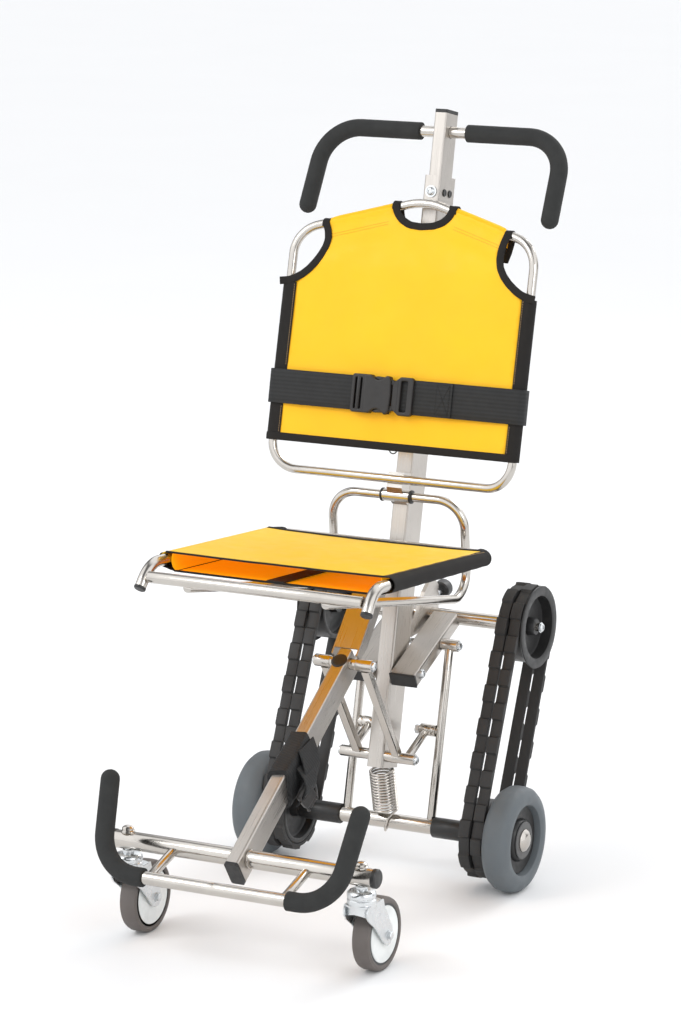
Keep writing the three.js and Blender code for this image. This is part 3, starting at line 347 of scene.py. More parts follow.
class Build:
    """Gathers the parts of one piece, each with its own material."""

    def __init__(self):
        self.verts = []
        self.faces = []
        self.slots = []
        self.materials = []

    def add(self, verts, faces, material):
        if material not in self.materials:
            self.materials.append(material)
        start = len(self.verts)
        self.verts += [Vector(v) for v in verts]
        self.faces += [[i + start for i in face] for face in faces]
        self.slots += [self.materials.index(material)] * len(faces)
        return self

    def loft(self, rings, material, closed=False):
        """Skins equal rings of points, and caps the ends unless the loft is closed."""
        size = len(rings[0])
        verts = [v for ring in rings for v in ring]
        faces = []
        count = len(rings)
        for i in range(count if closed else count - 1):
            a, b = i * size, ((i + 1) % count) * size
            for k in range(size):
                n = (k + 1) % size
                faces.append([a + k, a + n, b + n, b + k])
        if not closed:
            faces.append(list(range(size))[::-1])
            faces.append([(count - 1) * size + k for k in range(size)])
        return self.add(verts, faces, material)

    def tube(self, points, radius, material, sides=20, ends=("flat", "flat"), closed=False):
        rings = []
        spine = transported(points)
        r = radius * MM
        if closed:
            spine = spine[:-1]

        def ring(place, tangent, side, size):
            return circle(place, side, tangent.cross(side), size, sides)

        def cap(entry, kind, sign):
            place, tangent, side = entry
            steps = 5 if kind == "round" else 2
            reach = r if kind == "round" else min(r * 0.12, 0.6 * MM)
            made = []
            for k in range(steps, 0, -1):
                angle = (math.pi / 2) * k / (steps + 0.4)
                size = r - reach + reach * math.cos(angle)
                made.append(ring(place + tangent * sign * reach * math.sin(angle), tangent, side, size))
            return made

        if not closed:
            rings += cap(spine[0], ends[0], -1)
        rings += [ring(*entry, r) for entry in spine]
        if not closed:
            rings += cap(spine[-1], ends[1], 1)[::-1]
        return self.loft(rings, material, closed)

    def rod(self, a, b, radius, material, sides=24, ends=("flat", "flat")):
        return self.tube([a, b], radius, material, sides, ends)

    def turn(self, profile, centre, axis, material, sides=56):
        """Turns (along, radius) pairs about an axis; the profile starts and ends at the axis or closes."""
        axis = Vector(axis).normalized()
        guide = Vector((0, 0, 1)) if abs(axis.z) < 0.8 else Vector((0, 1, 0))
        side = axis.cross(guide).normalized()
        other = axis.cross(side)
        rings = []
        for along, radius in profile:
            rings.append(circle(centre + axis * along * MM, side, other, max(radius, 0.01) * MM, sides))
        return self.loft(rings, material)

    def plate(self, outlines, origin, ex, ey, depth, material, bevel=0.6):
        """A bevelled plate from outlines in (x, y), the first the rim and the rest holes."""
        curve = bpy.data.curves.new("outline", "CURVE")
        curve.dimensions = "2D"
        curve.fill_mode = "BOTH"
        curve.extrude = depth / 2 - bevel
        curve.bevel_depth = bevel
        curve.bevel_resolution = 1
        curve.offset = -bevel
        for outline in outlines:
            spline = curve.splines.new("POLY")
            spline.points.add(len(outline) - 1)
            for point, (x, y) in zip(spline.points, outline):
                point.co = (x, y, 0, 1)
            spline.use_cyclic_u = True
        holder = bpy.data.objects.new("outline", curve)
        bpy.context.scene.collection.objects.link(holder)
        bpy.context.view_layer.update()
        made = bpy.data.meshes.new_from_object(holder.evaluated_get(bpy.context.evaluated_depsgraph_get()))
        ex, ey = Vector(ex).normalized(), Vector(ey).normalized()
        ez = ex.cross(ey)
        verts = [origin + (ex * v.co.x + ey * v.co.y + ez * v.co.z) * MM for v in made.vertices]
        faces = [list(p.vertices) for p in made.polygons]
        bpy.data.objects.remove(holder)
        bpy.data.curves.remove(curve)
        bpy.data.meshes.remove(made)
        return self.add(verts, faces, material)

    def mirror(self):
        """Adds a mirror image across x = 0."""
        other, start = self.mirrored(), len(self.verts)
        self.verts += other.verts
        self.faces += [[i + start for i in face] for face in other.faces]
        self.slots += other.slots
        return self

    def mirrored(self):
        other = Build()
        other.verts = [Vector((-v.x, v.y, v.z)) for v in self.verts]
        other.faces = [list(face)[::-1] for face in self.faces]
        other.slots = list(self.slots)
        other.materials = list(self.materials)
        return other

    def finish(self, name, body, slot, replaces=(), sharp=38):
        mesh = bpy.data.meshes.new(name)
        mesh.from_pydata([tuple(v) for v in self.verts], [], self.faces)
        for material in self.materials:
            mesh.materials.append(material)
        mesh.polygons.foreach_set("material_index", self.slots)
        mesh.update()
        mesh.validate()
        mesh.shade_smooth()
        mesh.set_sharp_from_angle(angle=math.radians(sharp))
        piece = bpy.data.objects.new(name, mesh)
        bpy.context.scene.collection.objects.link(piece)
        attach(piece, body)
        if replaces:
            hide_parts(*replaces)
        return piece


def fillet(corners, radii, steps=12):
    """Straight runs between corners, with an arc at each."""
    points = [corners[0].copy()]
    for i in range(1, len(corners) - 1):
        r = radii[i - 1] * MM
        back = (corners[i - 1] - corners[i]).normalized()
        on = (corners[i + 1] - corners[i]).normalized()
        turn = math.pi - back.angle(on)
        centre = corners[i] + (back + on).normalized() * r / math.cos(turn / 2)
        start = corners[i] + back * r * math.tan(turn / 2) - centre
        axis = on.cross(back).normalized()
        for k in range(steps + 1):
            points.append(Matrix.Rotation(turn * k / steps, 3, axis) @ start + centre)
    points.append(corners[-1].copy())
    return points


def finer(points, longest=12.0):
    made = [points[0]]
    for a, b in zip(points, points[1:]):
        count = max(1, math.ceil((b - a).length / (longest * MM)))
        made += [a.lerp(b, k / count) for k in range(1, count + 1)]
    return made


def both(build, name, body, slot, replaces=""):
    """A left piece and its mirror image, on bodies that may be named by side."""
    for side, made in (("left", build), ("right", build.mirrored())):
        made.finish(
            f"{name}_{side}",
            body.replace("SIDE", side),
            slot,
            [replaces.replace("SIDE", side)] if replaces else [],
        )


def cross_rod(build, place, x0, x1, radius, material=POLISHED, sides=28, ends=("flat", "flat")):
    return build.rod(at(x0, *place), at(x1, *place), radius, material, sides, ends)


def bolts(build, place, reach, size):
    """A domed bolt head at each end of a cross bar, with a hexagon socket and a washer."""
    head = [(1.2, 0), (1.2, size), (3.0, size), (4.3, size * 0.8), (4.9, size * 0.5)]
    head += [(4.9, size * 0.4), (3.0, size * 0.38), (3.0, 0)]
    washer = [(0, 0), (0, size + 1.2), (1.2, size + 1.2), (1.2, 0)]
    for sign in (1, -1):
        for profile in (washer, head):
            build.turn(profile, at(sign * reach, *place), (sign, 0, 0), ZINC, 24)


def bolted_bar(name, place, rods, reach, node, material=POLISHED, size=6.0, build=None):
    """A cross bar of rods, each (half its length, radius), with a bolt head at each end."""
    build = build or Build()
    for half, radius in rods:
        cross_rod(build, place, -half, half, radius, material)
    bolts(build, place, reach, size)
    build.finish(name, "frame", "zinc" if material is ZINC else "polished_tube", [node])


# ------------ kept CAD pieces


def dress(node, material, bevel=0.0):
    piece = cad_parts[node]
    if not piece.material_slots:
        piece.data.materials.append(material)
    for slot in piece.material_slots:
        slot.link = "OBJECT"
        slot.material = material
    if bevel:
        modifier = piece.modifiers.new("soft_edge", "BEVEL")
        modifier.width = bevel * MM
        modifier.segments = 2
        modifier.limit_method = "ANGLE"
        modifier.angle_limit = math.radians(50)


for chosen, edge, node_names in (
    (MAST_STEEL, 0, ["mast_tube", "handle_tube"]),
    (BLACK, 0, ["handle_guide_liner"]),
    (BLACK, 1.2, ["handle_top_cap"]),
    (BLACK, 1.0, ["leg_end_cap"]),
    (POLISHED, 0.5, ["seat_hinge_bracket"]),
    (POLISHED, 0, ["knee_link_left", "knee_link_right"]),
    (CHANNEL_STEEL, 0.8, ["knee_channel"]),
    (LEG_STEEL, 0, ["leg_tube"]),
    (ARM_STEEL, 0, ["track_arm_left", "track_arm_right"]),
    (ARM_STEEL, 0.5, ["latch_plate"]),
):
    for node_name in node_names:
        dress(node_name, chosen, edge)

# ------------ handle


def handle_path(start):
    corner = mast(186.5, 0, 1063)
    return fillet([mast(start, 0, 1063), corner, mast(189.5, -32, 947)], [56], 16)


Build().tube(finer(handle_path(0))[:-3], 8, POLISHED).mirror().finish(
    "handle_bar_tube", "handle", "polished_tube", ["handle_bar"])
both(
    Build().tube(finer(handle_path(37)), 12.5, FOAM, 28, ("flat", "round")),
    "handle_foam", "handle", "foam", "handle_grip_SIDE")


def stop_bolt():
    build = Build()
    centre = mast(0, -25.3, 977)
    axis = mast(0, -1, 0) - mast(0, 0, 0)
    build.turn([(0, 0), (0, 8.5), (1.4, 8.5), (1.4, 0)], centre, axis, ZINC, 32)
    build.turn(
        [(1.4, 0), (1.4, 6), (3.2, 5.6), (4.6, 4), (4.9, 2.6), (3.4, 2.4), (3.4, 0)],
        centre, axis, ZINC, 32)
    build.finish("stop_bolt_head", "frame", "polished_tube", ["stop_bolt"])


def lock_buttons():
    build = Build()
    for w in (-8.5, 8.5):
        build.turn(
            [(-2.4, 0), (-2.4, 5.2), (0.9, 5.2), (1.5, 4.5), (1.3, 2), (1.1, 0)],
            mast(12.6, w, 977), ACROSS, BLACK, 32)
    build.finish("lock_button_caps", "lock_buttons", "black_plastic", ["lock_buttons"])


stop_bolt()
lock_buttons()

# ------------ back frame


def bow(x, s):
    climb = (s - BACK_FOOT) / (BACK_TOP - BACK_FOOT)
    return -(50 + (40 - 50) * climb + 22 * (x / BACK_HALF) ** 2)


def frame_path():
    corners = ((0, BACK_FOOT), (BACK_HALF, BACK_FOOT), (BACK_HALF, 907.8), (14.5, BACK_TOP), (0, BACK_TOP))
    flat = fillet([Vector((x, 0, s)) * MM for x, s in corners], [38, 45, 90], 14)
    return [mast(p.x / MM, bow(p.x / MM, p.z / MM), p.z / MM) for p in finer(flat)]


def back_frame():
    right = frame_path()
    left = [Vector((-p.x, p.y, p.z)) for p in right[1:-1]][::-1]
    loop = right + left
    build = Build().tube(loop + [loop[0]], THIN_TUBE, POLISHED, 24, closed=True)
    build.rod(mast(0, -40, BACK_TOP), mast(0, -25.2, BACK_TOP), 5.5, POLISHED)
    build.finish("back_frame", "frame", "polished_tube", ["back_frame_tube"])


back_frame()

# ------------ seat frame


def seat_frames():
    hinge = [mast(x, -37, 547) for x in (0, 104)]
    loop = fillet([*hinge, at(104, 189, 401), at(104, -231, 487)], [40, 34], 14)
    build = Build().tube(loop, THIN_TUBE, POLISHED, 22).mirror()
    for x in (21.4, -23.4):
        build.rod(mast(x, -37, 547), mast(x + 2, -37, 547), 9.6, BLACK)
    cross_rod(build, (-235, 497), -160, 160, 8)
    build.finish("seat_loop", "seat", "polished_tube", ["seat_loop_tube"])
    tip = seat(170, -372, -30)
    side = fillet([seat(0, 0, 0), seat(SEAT_HALF, 0, 0), seat(SEAT_HALF, -352, 0), tip], [28, 44], 14)
    build = Build().tube(side, SEAT_TUBE, POLISHED, 24).mirror()
    build.finish("seat_side_frame", "seat", "polished_tube", ["seat_frame_tube"])
    along = (tip - seat(SEAT_HALF, -357, -9)).normalized()
    plug = Build().turn(
        [(-0.5, 0), (-0.5, 8.3), (2.2, 8.3), (3.2, 7.2), (3.5, 0)], tip + along * 0.5 * MM, along, BLACK, 28)
    both(plug, "seat_plug", "seat", "black_plastic")


seat_frames()

# ------------ knee, links, cross tubes


def linkage():
    knee = Build()
    cross_rod(knee, KNEE, 11.5, 19.6, 8)
    cross_rod(knee, KNEE, 20.4, 44, 8.6)
    bolted_bar("knee_pivot", KNEE, [(11, 7.6)], 44, "knee_pivot_tube", build=knee.mirror())
    bolted_bar("lower_cross", LOWER_CROSS, [(58, 8)], 58, "lower_cross_tube")
    bolted_bar("arm_bolt", ARM_PIVOT, [(55, 4)], 54.6, "arm_pivot_bolt", ZINC)
    bolted_bar("rod_bolt", ROD_PIVOT, [(81, 4)], 80.8, "rod_pivot_bolt", ZINC)


def track_rods():
    top, foot = at(67, *ROD_PIVOT), at(67, AXLE[0] + 4, AXLE[1] + 9)
    along = (top - foot).normalized()
    build = Build().rod(foot, top - along * 4 * MM, THIN_TUBE, POLISHED)
    cross_rod(build, ROD_PIVOT, 55.5, 80.5, 8.6)
    share = (205.5 - foot.z / MM) / ((top.z - foot.z) / MM)
    middle = foot.lerp(top, share)
    stud = (middle.y / MM - SHIFT, middle.z / MM)
    cross_rod(build, stud, 33, 67, 5)
    cross_rod(build, stud, 54.8, 60, 8.4)
    cross_rod(build, stud, 29, 34, 7, ZINC, 6)
    both(build, "track_rod", "frame", "polished_tube", "track_rod_SIDE")
    link = Build()
    cross_rod(link, stud, 37, 54, 8.6)
    foot = at(45, LOWER_CROSS[0] + 5, LOWER_CROSS[1] + 2.6)
    link.rod(foot, at(45, stud[0] - 4, stud[1] - 1.6), 6, POLISHED)
    both(link, "short_link", "frame", "polished_tube", "short_link_SIDE")


def latch_knob():
    build = Build()
    axis = Vector((0, 13, 2))
    build.rod(at(7, 288.6, 376), at(7, 302, 378), 4, ZINC)
    grip = [(-1, 0), (-1, 11), (1, 13), (14, 13), (16.5, 11.5), (17.5, 8), (17.5, 0)]
    build.turn(grip, at(7, 300, 377.7), axis, BLACK, 20)
    build.finish("latch_knob_grip", "latch_knob", "black_plastic", ["latch_knob"])


def arm_caps():
    normal = Vector((0, math.cos(ARM_ANGLE), math.sin(ARM_ANGLE)))
    up = Vector((0, -math.sin(ARM_ANGLE), math.cos(ARM_ANGLE)))
    outline = [(-20, -10), (20, -10), (20, 10), (-20, 10)]
    centre = at(34.5, *ARM_PIVOT) - normal * 18.6 * MM
    both(
        Build().plate([outline], centre, ACROSS, up, 3.6, BLACK, 1.0),
        "arm_end_cap", "frame", "black_plastic")


def knee_cap():
    """The plug in the leg's upper face."""
    up = leg(0, 0, -1) - leg(0, 0, 0)
    build = Build().turn(
        [(-0.4, 0), (-0.4, 11.5), (1.0, 11.5), (2.0, 10.2), (2.4, 6), (2.5, 0)],
        leg(0, 343, -20), up, BLACK, 36)
    build.finish("knee_cap", "front_leg", "black_plastic")


linkage()
track_rods()
bolted_bar("upper_cross", UPPER_CROSS, [(132, 10.5), (181, 6)], 180.6, "upper_cross_tube", size=6.2)
latch_knob()
arm_caps()
knee_cap()


def spring():
    build = Build()
    start, end = mast(0, 0, 159), at(0, AXLE[0] - 6, AXLE[1] + 19)
    axis = end - start
    side = Vector((1, 0, 0))
    other = axis.normalized().cross(side)
    points = []
    for i in range(14 * 20 + 1):
        angle = 2 * math.pi * i / 20
        out = side * math.cos(angle) + other * math.sin(angle)
        points.append(start + axis * (i / (14 * 20)) + out * 17.0 * MM)
    build.tube(points, 1.7, POLISHED, 10)
    hook = [end + side * 17.0 * MM, end + side * 12 * MM - Vector((0, 0, 4 * MM))]
    for x, back, up in ((6, -12, 6), (3, -14.5, -6), (0, -8, -13), (-3, 4, -13.5), (-4, 12, -6)):
        hook.append(at(x, AXLE[0] + back, AXLE[1] + up))
    build.tube(fillet(hook, [3, 6, 6, 6, 6], 5), 1.7, POLISHED, 10)
    build.finish("spring_coil", "frame", "polished_tube", ["tension_spring"])


spring()

# ------------ rear axle, belts, wheels


def rear_axle():
    build = Build()
    cross_rod(build, AXLE, -137, 137, 11, sides=32)
    cross_rod(build, AXLE, -219, 219, 7)
    build.finish("rear_axle", "frame", "polished_tube", ["rear_axle_tube"])
    sleeve = [(0, 10), (0, 14), (0.8, 14.5), (62, 14.5), (63, 14), (63, 10)]
    spacer = Build().turn(sleeve, at(74, *AXLE), ACROSS, BLACK, 40)
    both(spacer, "axle_spacer", "frame", "black_plastic", "axle_spacer_SIDE")


def belt_outline(phase):
    run = Vector((UPPER_CROSS[0] - AXLE[0], UPPER_CROSS[1] - AXLE[1]))
    span = run.length
    radius, tooth, teeth = 57.2, 3.7, 20
    arc = math.pi * radius
    around = 2 * span + 2 * arc

    def place(travel, height):
        travel %= around
        r = radius + height
        if travel < span:
            return (r, travel)
        if travel < span + arc:
            a = (travel - span) / radius
            return (r * math.cos(a), span + r * math.sin(a))
        if travel < 2 * span + arc:
            return (-r, span - (travel - span - arc))
        a = (travel - 2 * span - arc) / radius
        return (-r * math.cos(a), -r * math.sin(a))

    pitch = around / teeth
    outline = []
    for k in range(teeth):
        start = (k + phase) * pitch
        for share, height in ((0, 0), (0.05, tooth), (0.27, tooth), (0.5, tooth), (0.55, 0), (0.78, 0)):
            outline.append(place(start + share * pitch, height))
    hole = [(52.6 * math.cos(a), span + 52.6 * math.sin(a)) for a in turns(0, 180, 24)]
    hole += [(52.6 * math.cos(a), 52.6 * math.sin(a)) for a in turns(180, 360, 24)]
    return outline, hole, run


def track_belts():
    build = Build()
    for x, phase in ((147.7, 0.0), (167.3, 0.5)):
        outline, hole, run = belt_outline(phase)
        up = Vector((0, run.x, run.y)).normalized()
        out = Vector((0, up.z, -up.y))
        build.plate([outline, hole], at(x, *AXLE), out, up, 16.4, TRACK, 0.6)
    both(build, "track_belt_pair", "frame", "belt_rubber", "track_belt_SIDE")


def pulleys():
    """The upper pulley has an outer flange; both are dished round a hub boss."""
    rim = [(-17.6, 0), (-17.6, 13), (-6, 14.5), (-5, 18), (-5, 40), (-7, 43.5)]
    rim += [(-17.4, 45), (-18.4, 46.5), (-18.4, 50), (-17.6, 51.5), (17.4, 51.5)]
    dish = [(17.4, 46), (16, 44.5), (6, 43.5), (4.5, 41), (4, 16), (5, 13), (16, 12), (17.6, 10.6), (17.6, 0)]
    flange = [(18.8, 52), (18.9, 58), (20.2, 59), (21.6, 58.4), (22, 56), (22, 47), (21, 44.8)]
    for name, place, profile in (
        ("lower", AXLE, rim + dish),
        ("upper", UPPER_CROSS, rim + flange + dish[1:]),
    ):
        build = Build().turn(profile, at(157.5, *place), ACROSS, BLACK, 72)
        both(build, f"{name}_pulley_wheel", f"{name}_pulley_SIDE", "black_plastic", f"{name}_pulley_SIDE")


def wheel(name, centre, slot, parts):
    build = Build()
    for material, sides, profile in parts:
        build.turn(profile, centre, ACROSS, material, sides)
    both(build, f"{name}_assembly", f"{name}_SIDE", slot, f"{name}_SIDE")


def rear_wheels():
    tread = [(-20, 46), (-21, 52), (-20.6, 60), (-17, 69), (-10, 74), (-3, 75), (5, 75), (12, 73.6)]
    tread += [(17.4, 69), (20.4, 61), (20.6, 54), (18, 50), (12, 48.5), (0, 48), (-20, 46)]
    hub = [(-19, 0), (-19, 47), (8, 48.6), (10, 47), (8.5, 40), (8, 31), (12, 29.5), (14, 27.5), (14, 0)]
    ring = [(13.5, 16), (13.5, 26), (15.6, 26.6), (16.4, 25.6), (16.4, 17), (15.6, 16)]
    cap = [(13, 0), (13, 16.4), (17.5, 16.2), (20.6, 13.4), (22.6, 8), (23.3, 3), (23.4, 0)]
    wheel("rear_wheel", at(198, *AXLE), "rear_tyre", (
        (REAR_TYRE, 96, tread), (BLACK, 72, hub), (GREY_RING, 64, ring), (POLISHED, 56, cap)))


rear_axle()
track_belts()
pulleys()
rear_wheels()

# ------------ front cross tube, bumper


def front_frame():
    build = Build()
    cross_rod(build, CROSS, -195, 195, 12.5, sides=36)
    for x in (-12, 12):
        cross_rod(build, CROSS, x - 1.2, x + 1.2, 13.4, sides=36)
    build.finish("front_cross", "front_leg", "polished_tube", ["front_cross_tube"])
    cap = [(0, 0), (0, 13), (5.2, 13), (6.8, 11.6), (7.2, 8), (7.2, 0)]
    both(
        Build().turn(cap, at(195.2, *CROSS), ACROSS, BLACK, 40),
        "cross_tube_cap", "front_leg", "black_plastic", "cross_tube_cap_SIDE")
    path = fillet([bumper(0, 0), bumper(174.6, 0), bumper(188.6, 123)], [58], 16)
    build = Build().tube(finer(path)[:-3], 9, POLISHED, 24)
    build.rod(at(101, -347, 120), at(101, -288, 137), 6.5, POLISHED)
    build.mirror().finish("bumper_bar", "front_leg", "polished_tube", ["bumper_tube"])
    path = fillet([bumper(109, 0), bumper(174.6, 0), bumper(188.6, 123)], [58], 16)
    both(
        Build().tube(finer(path), 13, FOAM, 28, ("flat", "round")),
        "bumper_foam", "front_leg", "foam", "bumper_grip_SIDE")


front_frame()

# ------------ castors


def castor_forks():
    axis = at(177, CROSS[0], 0)

    def up(z, y=0.0, x=0.0):
        return axis + Vector((x, y, z)) * MM

    build = Build()
    build.rod(up(110), up(150), 6, ZINC, 24)
    dome = [(0, 0), (0, 9.5), (2, 9.5), (3, 8), (6, 8), (8, 6), (9, 3), (9.2, 0)]
    build.turn(dome, up(151.6), UPRIGHT, POLISHED, 32)
    build.turn([(0, 0), (0, 8), (5, 8), (5.6, 7), (5.6, 0)], up(122.4), UPRIGHT, ZINC, 32)
    race = [(-5, 0), (-5, 18), (-3, 19.4), (4, 19.6), (7, 19.2), (8, 18.1), (9, 18.1), (10, 19.2), (13, 19.6)]
    race += [(16, 19), (18.6, 16.4), (19.6, 11), (19.8, 0)]
    build.turn(race, up(103), UPRIGHT, ZINC, 56)
    crown = [(-18.2, -14), (-10, -19), (10, -19), (18.2, -14), (18.2, 24), (10, 28), (-10, 28), (-18.2, 24)]
    build.plate([crown], up(103), ACROSS, (0, 1, 0), 3.2, ZINC, 0.8)
    ear = [(-15, 104), (-18, 98), (-18, 90), (-12, 82), (4, 70), (22, 50), (31, 40), (39, 36)]
    ear += [(47, 37), (53, 43), (54.5, 51), (51, 61), (40, 78), (31, 94), (28, 104)]
    hood = []
    for k in range(17):
        a = math.radians(-84 + 168 * k / 16)
        low = 93 - 11 * (abs(k - 8) / 8) ** 1.6
        hood.append([
            up(z, -r * math.cos(a), r * math.sin(a))
            for r, z in ((18.2, 103), (19.5, 103), (19.5, (103 + low) / 2), (19.5, low), (18.2, low))
        ])
    build.loft(hood, ZINC)
    for x in (-17, 17):
        build.plate([ear], up(0, 0, x), (0, 1, 0), UPRIGHT, 2.6, ZINC, 0.6)
    build.rod(up(50, 42, -19), up(50, 42, 19), 4, ZINC)
    for sign in (1, -1):
        washer = [(0, 0), (0, 7), (1.2, 7), (1.2, 0)]
        build.turn(washer, up(50, 42, sign * 18.3), (sign, 0, 0), ZINC, 24)
        nut = [(0, 0), (0, 5.6), (3, 5.6), (3.8, 4.6), (3.8, 0)]
        build.turn(nut, up(50, 42, sign * 19.5), (sign, 0, 0), ZINC, 6)
    both(build, "castor_fork_plates", "castor_fork_SIDE", "zinc", "castor_fork_SIDE")


def castor_wheels():
    tread = [(-11.5, 41.5), (-12.8, 44.5), (-11.5, 48.4), (-8, 49.7), (-1, 50), (1, 50)]
    tread += [(8, 49.7), (11.5, 48.4), (12.8, 44.5), (11.5, 41.5), (-11.5, 41.5)]
    wheel("castor_wheel", at(177, CROSS[0] + 42, 50), "castor_tyre", (
        (CASTOR_TYRE, 80, tread),
        (CASTOR_RING, 64, [(-11, 0), (-11, 42.5), (11, 42.5), (11, 36), (9.5, 35.5), (9.5, 0)]),
        (CASTOR_DISC, 64, [(-12, 0), (-12, 38), (-10, 39), (-10, 0)]),
        (CASTOR_DISC, 64, [(9, 0), (9, 39), (12, 38), (12.4, 14), (13.2, 12), (13.2, 0)])))


castor_forks()
castor_wheels()

# ------------ cloth


CLOTH_THICKNESS = 0.9


def smoothstep(a, b, x):
    t = min(1.0, max(0.0, (x - a) / (b - a)))
    return t * t * (3 - 2 * t)


def gable(x):
    """Height of the backrest tube's upper run at x, down into its corner bend."""
    x = abs(x)
    if x > 122.6:
        return 840.2 + math.sqrt(max(0.0, 8100 - (x - 97.5) ** 2))
    return min(957.5, 962.2 - 0.29 * x)


ARMHOLE = [
    (195.5, 834), (186, 835.5), (176, 839), (166, 845), (156, 853), (147, 863),
    (140, 874), (136, 886), (135, 898), (137.5, 910), (142, 921),
]
NECK_CENTRE = 4.0
NECK = [(45, 956), (43.5, 947), (39, 939), (31, 931.5), (18, 926), (0, 923.8)]


def cover_outline():
    foot = [(x, 609) for x in range(-183, 184, 12)]
    side = [(183, s) for s in range(630, 830, 20)]
    arm = [(x, s) for x, s in ARMHOLE if x < 180]
    right = [(x, gable(x) + 4) for x in (134, 122, 110, 98, 86, 74, 62, 54)]
    neck = [(NECK_CENTRE + x, s) for x, s in NECK[1:]]
    neck += [(NECK_CENTRE - x, s) for x, s in NECK[1:-1][::-1]]
    left = [(-x, gable(x) + 4) for x in (46, 54, 62, 74, 86, 98, 110, 122, 134)]
    far = [(-x, s) for x, s in arm[::-1]] + [(-x, s) for x, s in side[::-1]]
    return foot + side + arm + right + neck + left + far


def cover_depth(x, s):
    """How far forward of the mast the sling lies: flat between the tubes, then back to the gable."""
    side = bow(BACK_HALF, min(s, 880)) - 7.6
    belly = 2.6 * (1 - (x / 190) ** 2) * math.exp(-(((s - 730) / 90) ** 2))
    wave = math.sin((s + 0.5 * abs(x)) / 10.5 + 0.4) + 0.6 * math.sin((s - 0.35 * abs(x)) / 17)
    fold = 1.7 * wave * math.exp(-(((s - 893) / 26) ** 2)) * smoothstep(5, 60, abs(x))
    pull = -0.9 * math.exp(-(((s - 660) / 5) ** 2)) - 0.9 * math.exp(-(((s - 711) / 5) ** 2))
    sweep = 0.8 * math.sin(x / 31 + s / 47) * math.exp(-(((s - 800) / 70) ** 2))
    top = bow(x, gable(x)) - 7.4
    share = smoothstep(862, gable(x) - 4, s)
    return (side - belly + pull) * (1 - share) + top * share - fold * (1 - share ** 3) - sweep


def thicken(piece):
    piece.modifiers.new("thickness", "SOLIDIFY").thickness = CLOTH_THICKNESS * MM


def sling(outline, shape, spacing, material):
    """A sheet with the given outline in (x, s), filled with a grid of points and shaped."""
    inside = []
    (left, right), (low, high) = ((min(axis), max(axis)) for axis in zip(*outline))
    for i in range(1, int((right - left) / spacing)):
        for k in range(1, int((high - low) / spacing)):
            offset = 0.5 if k % 2 else 0.0
            inside.append((left + (i + offset) * spacing, low + k * spacing))

    def clear(p):
        hit = False
        near = 1e9
        for a, b in zip(outline, outline[1:] + outline[:1]):
            if (a[1] > p[1]) != (b[1] > p[1]):
                if p[0] < (b[0] - a[0]) * (p[1] - a[1]) / (b[1] - a[1]) + a[0]:
                    hit = not hit
            ab = Vector(b) - Vector(a)
            t = max(0, min(1, (Vector(p) - Vector(a)).dot(ab) / max(ab.length_squared, 1e-9)))
            near = min(near, (Vector(a) + ab * t - Vector(p)).length)
        return hit and near > spacing * 0.45

    points = [Vector(p) for p in outline] + [Vector(p) for p in inside if clear(p)]
    edges = [(i, (i + 1) % len(outline)) for i in range(len(outline))]
    flat, _, faces, *_ = delaunay_2d_cdt(points, edges, [], 1, 1e-4)
    build = Build().add([shape(v.x, v.y) for v in flat], [list(f) for f in faces], material)
    thicken(build.finish("back_sling", "frame", "yellow_sling", ["back_cover"], 80))


def edge_tape(path, width, thick, material, normal, build=None):
    """A flattened tape along a path of points, whose broad face has the given normal."""
    build = build or Build()
    rings = []
    for place, tangent, _ in transported(path):
        side = tangent.cross(normal).normalized()
        out = side.cross(tangent).normalized()
        ring = []
        for k in range(12):
            a = 2 * math.pi * k / 12
            squash = (abs(math.cos(a)) ** 0.5) * math.copysign(1, math.cos(a))
            bulge = (abs(math.sin(a)) ** 0.7) * math.copysign(1, math.sin(a))
            ring.append(place + side * squash * width / 2 * MM + out * bulge * thick / 2 * MM)
        rings.append(ring)
    return build.loft(rings, material)


def strap(path, width, thick, across, material, build=None):
    """Flat webbing along a path; across is the direction of its width."""
    build = build or Build()
    rings = []
    across = Vector(across).normalized()
    for place, tangent, _ in transported(path):
        out = tangent.cross(across).normalized()
        w, t = width / 2 * MM, thick / 2 * MM
        half = [(-1, -0.4), (-1, 0.4), (-0.97, 1), (-0.5, 1), (0, 1), (0.5, 1), (0.97, 1)]
        ring = half + [(-a, -b) for a, b in half]
        rings.append([place + across * a * w + out * b * t for a, b in ring])
    return build.loft(rings, material)


FORWARD = mast(0, -1, 0) - mast(0, 0, 0)


def over_tube(x, tail=()):
    """Places up the front of the gable tube, over it and down behind."""
    s0 = gable(x)
    w0 = bow(x, s0)
    path = [mast(x, w0 - 8.2, s0 - 3)]
    path += [mast(x, w0 - 8.2 * math.cos(a), s0 + 8.2 * math.sin(a)) for a in turns(0, 180, 9)]
    return path + [mast(x + dx, w0 + dw, s0 + ds) for dx, dw, ds in tail]


